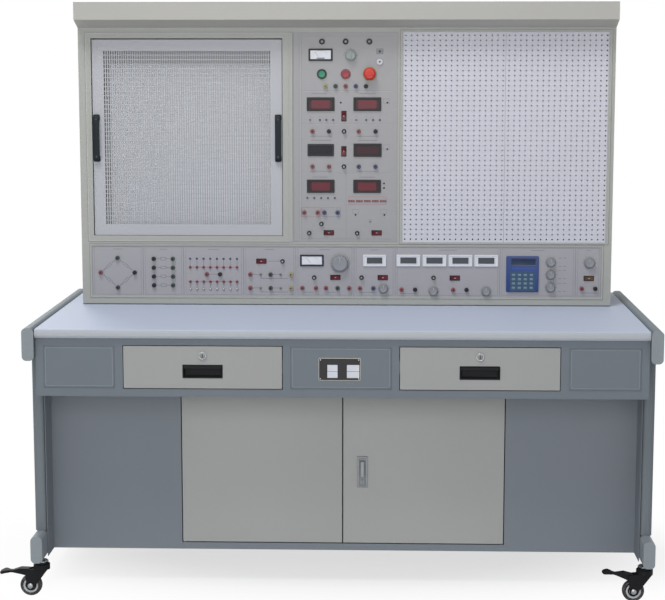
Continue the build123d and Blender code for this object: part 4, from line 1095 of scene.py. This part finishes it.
# Push buttons with dished faces, and the mushroom head of the emergency stop with its arrows.
# A profile starts with levels from the panel and goes on with drops from the button's front.
button = {
    "finishOf": {"start_button": ("darkGreenAbs", "greenAbs"), "stop_button": ("keyRed", "buttonRed")},
    "root": [(7.5, 0), (7.5, 12), (10.9, 12.2)],
    "face": [(10.9, 1.2), (10.2, 0.3), (9.2, 0), (7.5, 0.5), (3.0, 1.1)],
    "stopRoot": [(6.0, 0), (6.0, 10), (8.9, 10.5)],
    "stopHead": [(8.9, 16.0), (17.0, 15.8), (17.9, 14.6), (17.9, 10.5), (17.2, 6.5), (15.2, 3.0), (12.0, 0.9),
                 (7.5, 0), (2.0, 0)],
    "arrows": 3,
    "arrowPieces": 4,
    "arrowTurn": 22,
    "arrow": (2.0, 4.2, 0, 1.0),
    "arrowPlace": (10.5, 1.2),
}


def startButton(node, root, head, slots, sides):
    low, high = boxOf(node)
    length = high.y - low.y
    place = facing((low.x + high.x) / 2, high.y, (low.z + high.z) / 2)
    shape = bmesh.new()
    addTurned(shape, root + [(radius, length - drop) for radius, drop in head], place, slots, sides)
    return shape, place, length


def makeButtons():
    for node, skins in button["finishOf"].items():
        shape = startButton(node, button["root"], button["face"], [0] * 5 + [1] * 3, 32)[0]
        makePiece(node + "_cap", shape, skins, node, [node])
    slots = [2] * 3 + [0] * 9
    shape, place, length = startButton("emergency_stop", button["stopRoot"], button["stopHead"], slots, 40)
    out, drop = button["arrowPlace"]
    for arrow in range(button["arrows"]):
        for number in range(button["arrowPieces"]):
            angle = math.radians(360 / button["arrows"] * arrow + button["arrowTurn"] * number)
            arc = shifted(place @ Matrix.Rotation(angle, 4, "Z"), out, 0, length - drop)
            addTile(shape, *button["arrow"], arc, 3, 0.3, 1)
    skins = ["brightRedAbs", "yellowAbs", "blackAbs", "arrowPink"]
    makePiece("emergencyStopHead", shape, skins, "emergency_stop", ["emergency_stop"])


makeButtons()
print("buttons made")


# Printed lines on the panels: module borders, links between terminals, scales round the knobs.
# rules: from x, to x, ink, heights. posts: from z, to z, ink, places. frames: two corners, ink.
channels = [-454.6 + 19.6 * column for column in range(8)]
panelPrint = {
    "thickness": 0.15,
    "line": 1.3,
    "fine": 0.9,
    "rules": [
        (-128, 138, 3, 1378, 1283, 1141), (-128, 138, 1, 1376.6, 1281.6, 1139.6), (-100, -54, 0, 1370),
        (40, 86, 0, 1370, 1130), (-100, -42, 0, 1236), (36, 92, 0, 1236), (-96, -52, 0, 1130),
        (-104, -40, 0, 1248), (30, 94, 0, 1248), (-104, -39, 0, 1147), (31, 95, 0, 1147),
        (-553, -541, 0, 890, 864, 838, 812), (-526, -514, 0, 890, 864, 838, 812), (-399, -374, 0, 845),
        (-271, -254, 0, 845, 805), (-212, -195, 0, 845, 805), (-248, -168, 0, 833, 793), (-231, -191, 0, 884),
        (-120, -92, 0, 793), (-51, -29, 0, 793), (160, 210, 0, 790), (310, 360, 0, 790), (684, 732, 0, 794),
        (40, 84, 0, 793), (620, 628, 0, 896, 872, 860, 836, 822, 798),
        (634, 642, 0, 896, 872, 860, 836, 822, 798)],
    "posts": [(950, 1141, 3, 1.6), (1303, 1306, 0, -103, -74.5, -56, -36, 30.6, 59.7, 79, 98.7),
              (870, 886, 0, *channels), (806, 818, 0, *channels)],
    "frames": [
        (-128, 950, 138, 1534.5, 3), (-130, 948, 140, 1536.5, 1), (-128, 1015, -73, 1041, 2),
        (-69.5, 1015, -15, 1041, 4), (88.5, 1484, 107.5, 1498, 0), (109, 1342.5, 127, 1355.5, 3),
        (109, 1210.5, 127, 1223.5, 3), (20, 1023.5, 38, 1036.5, 3), (102, 1023.5, 120, 1036.5, 3),
        (9, 1050, 117.5, 1073, 2), (-541, 886, -526, 894, 0), (-541, 860, -526, 868, 0),
        (-541, 834, -526, 842, 0), (-541, 808, -526, 816, 0)],
    "links": {"heights": (865.5, 823), "from": 4.4, "to": 15.2, "width": 1.6},
    "bridge": {"points": [(-668, 892), (-618, 849), (-668, 805), (-718, 849)], "clear": 9, "apart": 3},
    "border": 6,
    "title": {"drop": 13, "half": 28, "share": 0.09, "width": 1.7},
    "scale": {"start": -150, "sweep": 300, "gap": 1.5, "long": 4.5, "short": 3.3, "width": 0.7},
    "scaleTicks": {"transformer_dial": 21},
}


def addLine(shape, x0, z0, x1, z1, y, width, slot=0):
    run = Vector((x1 - x0, z1 - z0, 0))
    place = facing((x0 + x1) / 2, y, (z0 + z1) / 2, math.atan2(run.y, run.x))
    addTile(shape, run.length, width, -0.05, panelPrint["thickness"], place, slot, 0.1, 1)


def addFrameLines(shape, x0, z0, x1, z1, y, width, slot=0, inset=0.0):
    x0, z0, x1, z1 = x0 + inset, z0 + inset, x1 - inset, z1 - inset
    for line in ((x0, z0, x1, z0), (x1, z0, x1, z1), (x1, z1, x0, z1), (x0, z1, x0, z0)):
        addLine(shape, *line, y, width, slot)


def addScale(shape, node):
    low, high = boxOf(node)
    x, z, radius = (low.x + high.x) / 2, (low.z + high.z) / 2, (high.x - low.x) / 2
    scale, ticks = panelPrint["scale"], panelPrint["scaleTicks"].get(node, 11)
    for tick in range(ticks):
        angle = math.radians(scale["start"] + scale["sweep"] * tick / (ticks - 1))
        inner, outer = radius + scale["gap"], radius + scale["short" if tick % 2 else "long"]
        addLine(shape, x + inner * math.sin(angle), z + inner * math.cos(angle),
                x + outer * math.sin(angle), z + outer * math.cos(angle), panelFace, scale["width"])


# Four arms between the terminals of the first module, each with two short strokes beside its gap
def addBridge(shape):
    points = [Vector(point) for point in panelPrint["bridge"]["points"]]
    for start, end in zip(points, points[1:] + points[:1]):
        middle, unit = (start + end) / 2, (end - start).normalized()
        step = unit * panelPrint["bridge"]["clear"]
        side = Vector((-unit.y, unit.x)) * panelPrint["bridge"]["apart"]
        for first, last, width in ((start + step, middle - step, "line"), (middle + step, end - step, "line"),
                                   (middle - step + side, middle + step + side, "fine"),
                                   (middle + step - side, middle - step - side, "fine")):
            addLine(shape, *first, *last, panelFace, panelPrint[width])


def makePrint():
    shape = bmesh.new()
    y, fine = panelFace, panelPrint["fine"]
    for x0, x1, ink, *heights in panelPrint["rules"]:
        for z in heights:
            addLine(shape, x0, z, x1, z, y, fine, ink)
    for z0, z1, ink, *places in panelPrint["posts"]:
        for x in places:
            addLine(shape, x, z0, x, z1, y, fine, ink)
    for x0, z0, x1, z1, ink in panelPrint["frames"]:
        addFrameLines(shape, x0, z0, x1, z1, y, fine, ink)
    title = panelPrint["title"]
    for part in looseParts("module_panel"):
        low, high, middle = part["low"], part["high"], part["middle"].x
        addFrameLines(shape, low.x, low.z, high.x, high.z, y, fine, 3, panelPrint["border"])
        half, z = min(title["half"], part["size"].x * title["share"]), high.z - title["drop"]
        addLine(shape, middle - half, z, middle + half, z, y, title["width"], 3)
    addBridge(shape)
    links = panelPrint["links"]
    for x in channels[:-1]:
        for z in links["heights"]:
            addLine(shape, x + links["from"], z, x + links["to"], z, y, links["width"], 2)
    for node in knob["nodes"]:
        addScale(shape, node)
    inks = ["darkPrint", "lightPrint", "redPrint", "softPrint", "bluePrint"]
    makePiece("panelPrint", shape, inks, "bench", [])


# Joints of the folded frames: a dark line for the gap and its shade, with a painted highlight line beside it
# where the fold catches light. Round the blank panels, a painted shadow line and a painted highlight line.
# Each by inset and width
frameJoints = {
    "frames": [(-752.5, 941, -153, 1545), (157, 936, 762, 1551), (-749, 775, 749, 934)],
    "joint": [(0, 1.2), (2.2, 1.0)],
    "panelShadeLines": [(2.5, 3.0), (5.5, 1.6)],
    "panelLimit": (300, 3),
}


def makeFrameJoints():
    shape = bmesh.new()
    y = boxOf("console_frame")[0].y
    for x0, z0, x1, z1 in frameJoints["frames"]:
        for slot, (inset, width) in enumerate(frameJoints["joint"]):
            addFrameLines(shape, x0, z0, x1, z1, y, width, slot, inset)
    makePiece("frameJoints", shape, ["jointShade", "jointHighlight"], "bench", [])
    # Round each blank panel of the drawer unit: a painted shadow line along its edge and a painted highlight
    # line inside it
    edges = bmesh.new()
    y = boxOf("drawer_unit")[0].y
    widest, deepest = frameJoints["panelLimit"]
    for part in looseParts("drawer_unit"):
        low, high, size = part["low"], part["high"], part["size"]
        if size.y < deepest and low.y < y + 0.1 and size.x < widest:
            for slot, (inset, width) in enumerate(frameJoints["panelShadeLines"]):
                addFrameLines(edges, low.x, low.z, high.x, high.z, y, width, slot, inset)
    makePiece("blankPanelShadeLines", edges, ["carcassShade", "carcassHighlight"], "bench", [])


makeFrameJoints()
makePrint()
print("panel print made")


# Dark rubber seal along the foot of the console, where it stands on the worktop; the dark strip also stands
# in for the shadow line there, as painted shade
footShadeSeal = {"height": 2.6, "proud": 0.5, "depth": 6, "inset": 1}


def makeFootShadeSeal():
    low, high = boxOf("console_shell")
    y = boxOf("console_frame")[0].y - footShadeSeal["proud"]
    shape = bmesh.new()
    addBlock(shape, (low.x + footShadeSeal["inset"], y, low.z),
             (high.x - footShadeSeal["inset"], y + footShadeSeal["depth"], low.z + footShadeSeal["height"]))
    makePiece("consoleFootShadeSeal", shape, ["shadeSealRubber"], "bench", [])


makeFootShadeSeal()


# Drawers: front with a pull cup let in, a sheet box behind it and the sliding bars
drawer = {
    "width": 424,
    "frontDepth": 16,
    "front": [(0, -16, 1.2), (0, -0.7, 1.2), (1.0, 0.0, 1.2)],
    "opening": [(-1, 0.0, 1.5), (-0.6, -16, 1.5)],
    "pull": (107, 36),
    "pullDrop": 11,
    "cup": [(0, -15, 3), (0, 0, 1.5), (-0.1, 0.4, 1.5), (1.4, 1.0, 1.5), (5, 0.4, 1.5), (6, -0.6, 1.5),
            (7.5, -11, 3), (12, -13.5, 4)],
    "lip": [(100.8, 7.4, 0), (100.8, 7.4, 2.0), (100, 6.2, 2.6)],
    "lipPlace": (0, 11, -2.2),
    "sheet": 1.5,
    "boxRise": 8,
    "boxDrop": 14,
    "boxInset": 14,
    "barHeight": 30.4,
    "barReach": 14.2,
    "barGap": 2,
    "lockRadius": 10.6,
    "lockTop": 25,
    "lockWall": 2.4,
    "lockFace": [(3.0, -0.2), (3.0, 0.2), (3.6, 0.35)],
    "keyway": (2.4, 9.5, -0.2, 0.75),
}


def makeDrawer(node):
    low, high = boxOf(node)
    sheet, start, end = drawer["sheet"], low.y + drawer["frontDepth"], high.y
    x, z = (low.x + high.x) / 2, (low.z + high.z) / 2
    width, height = drawer["width"], high.z - low.z
    shape = bmesh.new()
    # The front is one skin: round its edge, over its face, down into the cup's opening and out at the back
    rings = boxRings(width, height, drawer["front"], 2)
    rings += boxRings(*drawer["pull"], drawer["opening"], 2, (0, -drawer["pullDrop"]))
    addCollar(shape, rings, facing(x, low.y, z))
    floorZ = z - height / 2 + drawer["boxRise"]
    wallZ, topZ = floorZ + sheet, z + height / 2 - drawer["boxDrop"]
    half = width / 2 - drawer["boxInset"]
    for x0, y0, z0, x1, z1 in ((-half, start, floorZ, half, wallZ), (-half, start, wallZ, sheet - half, topZ),
                               (half - sheet, start, wallZ, half, topZ),
                               (sheet - half, end - sheet, wallZ, half - sheet, topZ)):
        addBlock(shape, (x + x0, y0, z0), (x + x1, end, z1), 1, 0.3)
    for side in (-1, 1):
        near, far = sorted((x + side * half, x + side * (half + drawer["barReach"])))
        addBlock(shape, (near, start + drawer["barGap"], z - drawer["barHeight"] / 2),
                 (far, end - sheet, z + drawer["barHeight"] / 2), 2, 1.0)
    makePiece(node + "_body", shape, ["frontPaint", "carcassPaint", "zinc"], node, [node])

    cup = bmesh.new()
    place = facing(x, low.y, z - drawer["pullDrop"])
    addSkin(cup, boxRings(*drawer["pull"], drawer["cup"]), place, 0)
    lip = [boxRing(lipWidth, lipHeight, level, 1) for lipWidth, lipHeight, level in drawer["lip"]]
    addSkin(cup, lip, shifted(place, *drawer["lipPlace"]), 0)
    makePiece(node + "_pull", cup, ["softBlackAbs"], node, [])


def makeLockFace(node):
    low, high = boxOf(node.replace("_lock", ""))
    radius = drawer["lockRadius"]
    place = facing((low.x + high.x) / 2, boxOf(node)[0].y, high.z - drawer["lockTop"])
    shape = bmesh.new()
    addRing(shape, place, radius, radius - drawer["lockWall"], 1.0, 0, 32)
    # The lock face inside the ring takes the darker nickel, painted shade in the recess
    addTurned(shape, [(radius - less, level) for less, level in drawer["lockFace"]], place, 2, 28)
    addTile(shape, *drawer["keyway"], place, 1, 0.5, 2)
    makePiece(node + "_face", shape, ["chrome", "blackAbs", "recessShadeNickel"], node, [])


for drawerNode in ("left_drawer", "right_drawer"):
    makeDrawer(drawerNode)
    makeLockFace(drawerNode + "_lock")
print("drawers made")


# Doors: pans of folded sheet with eased outer folds. The right one carries the latch plate.
door = {
    "pan": [(3, -18, 1), (0, -18, 1.4), (0, -1.4, 1.4), (0.8, -0.4, 1.4), (2.8, 0, 0.6), (3, -1.5, 1)],
    "channel": [(40, 30, 0), (36, 36, 6)],
    "channelShare": 0.25,
    "channelLevel": -7.5,
    "latch": (30.2, 89),
    "latchPlace": (55.2, 325.5),
    "latchRim": [(0, 0, 2), (0, 2.0, 2), (1.6, 3.0, 2)],
    "latchWell": (19.2, 81),
    "latchWellLayers": [(0, 3.0, 2), (2, 1.6, 1.5)],
    "keyPlace": (0, -28, 1.5),
    "key": [(6.2, 0), (6.2, 1.6), (5.4, 2.2), (4.2, 2.2), (4.0, 1.9)],
    "keyway": (1.2, 5.0, 0, 0.2),
    "keywayLevel": 1.9,
}


def makeDoor(node):
    low, high = boxOf(node)
    width, height = high.x - low.x, high.z - low.z
    place = facing((low.x + high.x) / 2, boxOf("left_door")[0].y, (low.z + high.z) / 2)
    shape = bmesh.new()
    # Round the folded edge to the face, and from the edge's inside to the back of the face
    loops = addLoops(shape, boxRings(width, height, door["pan"], 2), place)
    for a, b in ((0, 1), (1, 2), (2, 3), (3, 4), (0, 5)):
        addBand(shape, loops[a], loops[b])
    shape.faces.new(loops[4])
    shape.faces.new(loops[5])
    # Two stiffening channels welded inside
    for share in (-door["channelShare"], door["channelShare"]):
        channel = [boxRing(width - less, tall, level, 2, 2) for less, tall, level in door["channel"]]
        addSkin(shape, channel, shifted(place, 0, share * height, door["channelLevel"]), 0)
    makePiece(node + "_pan", shape, ["doorPaint"], node, [node])


def makeLatch():
    x, z = door["latchPlace"]
    place = facing(x, boxOf("left_door")[0].y, z)
    shape = bmesh.new()
    rings = boxRings(*door["latch"], door["latchRim"]) + boxRings(*door["latchWell"], door["latchWellLayers"])
    # The well of the latch plate takes the darker nickel, painted shade in the recess
    addSkin(shape, rings, place, [0, 0, 0, 0, 1])
    key = shifted(place, *door["keyPlace"])
    addTurned(shape, door["key"], key, 0, 24)
    addTile(shape, *door["keyway"], shifted(key, 0, 0, door["keywayLevel"]), 2, 0.3, 1)
    makePiece("latchPlate", shape, ["latchNickel", "recessShadeNickel", "blackAbs"], "right_door", [])


makeDoor("left_door")
makeDoor("right_door")
makeLatch()
print("doors made")


# Plate on the middle blank panel: black, pale border, two bare white fields
plate = {
    "middle": (-3.5, 650),
    "size": (112, 61),
    "layers": [(0, -0.2, 3), (0, 0.5, 3), (1, 0.8, 3), (3, 0.8, 2.4)],
    "rise": 0.8,
    "fields": [(-22.5, 27), (32.5, 33)],
    "fieldHeight": 35,
    "fieldLevels": (-0.1, 0.15),
    "fieldZ": 644.5,
    "rule": {"level": 0.95, "width": 0.8},
    "rivetInset": 5,
    "rivetLevel": 0.7,
    "rivet": [(1.7, 0), (1.6, 0.5), (0.8, 0.9)],
}


def makePlate():
    face = boxOf("drawer_unit")[0].y
    width, height = plate["size"]
    place = facing(plate["middle"][0], face, plate["middle"][1])
    shape = bmesh.new()
    addSkin(shape, boxRings(width, height, plate["layers"]), place, [1, 1, 1, 0])
    for x, fieldWidth in plate["fields"]:
        z = plate["fieldZ"]
        field = facing(x, face - plate["rise"], z)
        addTile(shape, fieldWidth, plate["fieldHeight"], *plate["fieldLevels"], field, 2, 0.6)
        half, rule = fieldWidth / 2, plate["rule"]
        addLine(shape, x - half, z, x + half, z, face - rule["level"], rule["width"], 0)
    across, up = width / 2 - plate["rivetInset"], height / 2 - plate["rivetInset"]
    for x in (-across, across):
        for z in (-up, up):
            addTurned(shape, plate["rivet"], shifted(place, x, z, plate["rivetLevel"]), 3, 12)
    skins = ["plateBlack", "plateEdge", "plateField", "chrome"]
    makePiece("ratingPlate", shape, skins, "bench", [])


makePlate()
print("plate made")


# Wheels: black tyre with rounded shoulders, dished hub with a pale ring and a bolt cap. halfHub and
# halfTyre run from the axle outwards on one side, and the other side mirrors them.
halfHub = [(5, -9.2), (6, -9.6), (11.5, -9.6), (12.2, -7.4), (15.2, -6.6), (15.6, -8.8), (20.5, -9.4)]
halfTyre = [(21.0, -8.2), (22.0, -9.0), (25.5, -9.9), (28.4, -8.6), (29.7, -5.8), (30, -2)]
wheel = {
    "profile": halfHub + halfTyre + [(radius, -level) for radius, level in reversed(halfHub + halfTyre)],
    "slots": [1] * 3 + [2] * 2 + [1] * 2 + [0] * 12 + [1] * 2 + [2] * 2 + [1] * 3,
    "sides": 48,
    "cap": [(7.2, 16.0), (7.2, 17.9), (6.2, 18.9), (3.0, 19.7), (1.0, 19.8)],
}


def makeWheel(node):
    low, high = boxOf(node)
    along = Matrix.Translation((low + high) / 2) @ Matrix.Rotation(math.pi / 2, 4, "X")
    rings = [roundRing(radius, level, wheel["sides"]) for radius, level in wheel["profile"]]
    shape = bmesh.new()
    addCollar(shape, rings, along, wheel["slots"])
    makePiece(node + "_tyre", shape, ["tyre", "hubGrey", "softBlackAbs"], node, [node])


def makeAxleCaps(fork, wheelNode):
    low, high = boxOf(wheelNode)
    shape = bmesh.new()
    for turn in (math.pi / 2, -math.pi / 2):
        along = Matrix.Translation((low + high) / 2) @ Matrix.Rotation(turn, 4, "X")
        addTurned(shape, wheel["cap"], along, 0, 20)
    makePiece(fork + "_caps", shape, ["zinc"], fork, [])


for wheelNode in ("front_left_wheel", "front_right_wheel", "rear_left_wheel", "rear_right_wheel"):
    makeWheel(wheelNode)
    makeAxleCaps(wheelNode.replace("wheel", "fork"), wheelNode)
print("wheels made")


# Back of the console: two fields of louvres and the screws of the rear sheet
rearSheet = {
    "louvre": [(90, 5, -0.3, 2, 0), (88, 3, 1.2, 1.5, -1), (84, 1.0, 2.2, 0.4, -2)],
    "rows": 7,
    "pitch": 14,
    "columns": (-420, -300, 300, 420),
    "level": 1180,
    "screw": [(4.2, -0.2), (4.2, 0.4), (3.2, 1.5), (1.6, 1.9), (0.9, 1.9), (0.8, 1.2)],
    "screwColumns": (-750, -500, -250, 0, 250, 500, 750),
    "screwInset": 14,
    "topEdge": 1558,
}


def makeRearDetails():
    y = boxOf("header")[1].y
    shape = bmesh.new()
    rings = [boxRing(width, height, level, corner, shift=(0, drop))
             for width, height, level, corner, drop in rearSheet["louvre"]]
    for x in rearSheet["columns"]:
        for row in range(rearSheet["rows"]):
            addSkin(shape, rings, facingAway(x, y, rearSheet["level"] + row * rearSheet["pitch"]), 0)
    makePiece("rearLouvres", shape, ["consolePaint"], "bench", [])
    screws = bmesh.new()
    bottom = boxOf("console_shell")[0].z + rearSheet["screwInset"]
    for z in (bottom, rearSheet["level"], rearSheet["topEdge"] - rearSheet["screwInset"]):
        for x in rearSheet["screwColumns"]:
            addTurned(screws, rearSheet["screw"], facingAway(x, y, z), 0, 16)
    makePiece("rearScrews", screws, ["zinc"], "bench", [])


makeRearDetails()
print("rear details made")


# Pale floor and white surroundings, in metres, but for the patches of its tone. For the camera the
# floor glows more and more away from the bench, so that it ends without an edge.
studio = {
    "floorColour": "#f6f6f5",
    "floorHalf": 30,
    "floorPatch": 900,
    "floorDrift": 0.006,
    "floorRoughness": 0.7,
    "worldLight": 0.37,
    "fadeStart": 0.35,
    "fadeEnd": 1.0,
    "glow": 0.66,
    "middle": (0, 0.15, 0),
    "reach": (0.72, 1.5, 1.0),
}


def makeWorld():
    world = bpy.data.worlds.new("studioWorld")
    bpy.context.scene.world = world
    world.use_nodes = True
    tree = world.node_tree
    tree.nodes.clear()
    path = addNode(tree, "LightPath").outputs
    seen = path["Is Camera Ray"]
    for other in ("Is Glossy Ray", "Is Transmission Ray"):
        seen = addNode(tree, "Math", {"operation": "MAXIMUM"}, links={0: seen, 1: path[other]}).outputs[0]
    strength = mapped(tree, seen, 0.0, 1.0, studio["worldLight"], 1.0)
    background = addNode(tree, "Background", inputs={"Color": (1, 1, 1, 1)}, links={"Strength": strength})
    addNode(tree, "OutputWorld", links={"Surface": background.outputs[0]})


def makeFloor():
    mesh = bpy.data.meshes.new("studioFloor")
    half = studio["floorHalf"]
    corners = [(-half, -half, 0), (half, -half, 0), (half, half, 0), (-half, half, 0)]
    mesh.from_pydata(corners, [], [(0, 1, 2, 3)])
    floor = addObject("studioFloor", mesh)
    material, tree, shader, place = startMaterial("paintedStudioFloor")
    colour = linear(studio["floorColour"])
    tint = driftingColour(tree, place, colour, studio["floorPatch"], studio["floorDrift"])
    tree.links.new(tint, shader.inputs["Base Color"])
    shader.inputs["Roughness"].default_value = studio["floorRoughness"]
    centred = addNode(tree, "VectorMath", {"operation": "SUBTRACT"}, {1: studio["middle"]}, {0: place})
    stretched = addNode(tree, "VectorMath", {"operation": "MULTIPLY"}, {1: studio["reach"]},
                        {0: centred.outputs["Vector"]})
    distance = addNode(tree, "VectorMath", {"operation": "LENGTH"}, links={0: stretched.outputs["Vector"]})
    fade = addNode(tree, "MapRange", {"interpolation_type": "SMOOTHSTEP"},
                   {"From Min": studio["fadeStart"], "From Max": studio["fadeEnd"], "To Min": studio["glow"]},
                   {"Value": distance.outputs["Value"]})
    seen = addNode(tree, "LightPath").outputs["Is Camera Ray"]
    share = addNode(tree, "Math", {"operation": "MULTIPLY"}, links={0: seen, 1: fade.outputs["Result"]})
    glow = addNode(tree, "Emission", inputs={"Color": (1, 1, 1, 1), "Strength": 1.0})
    surface = addNode(tree, "MixShader",
                      links={0: share.outputs[0], 1: shader.outputs[0], 2: glow.outputs[0]})
    tree.links.new(surface.outputs[0], tree.nodes["Material Output"].inputs["Surface"])
    mesh.materials.append(material)


# Square soft lamps: metres and watts
lamps = {
    "keyLamp": {"place": (-1.1, -2.4, 5.4), "aim": (0, 0, 1.0), "size": 1.6, "power": 142},
    "fillLamp": {"place": (-0.3, -5.7, 2.2), "aim": (0, 0, 0.8), "size": 2.6, "power": 107},
    "rearLamp": {"place": (-2.4, 4.2, 3.4), "aim": (0, 0, 0.9), "size": 1.6, "power": 70},
}


def makeLamps():
    for name, lamp in lamps.items():
        light = bpy.data.lights.new(name, "AREA")
        light.shape = "SQUARE"
        light.size = lamp["size"]
        light.energy = lamp["power"]
        holder = addObject(name, light)
        holder.location = lamp["place"]
        aim = Vector(lamp["aim"]) - Vector(lamp["place"])
        holder.rotation_euler = aim.to_track_quat("-Z", "Y").to_euler()


makeWorld()
makeFloor()
makeLamps()
bpy.context.scene.view_settings.view_transform = "Standard"
print("studio ready")
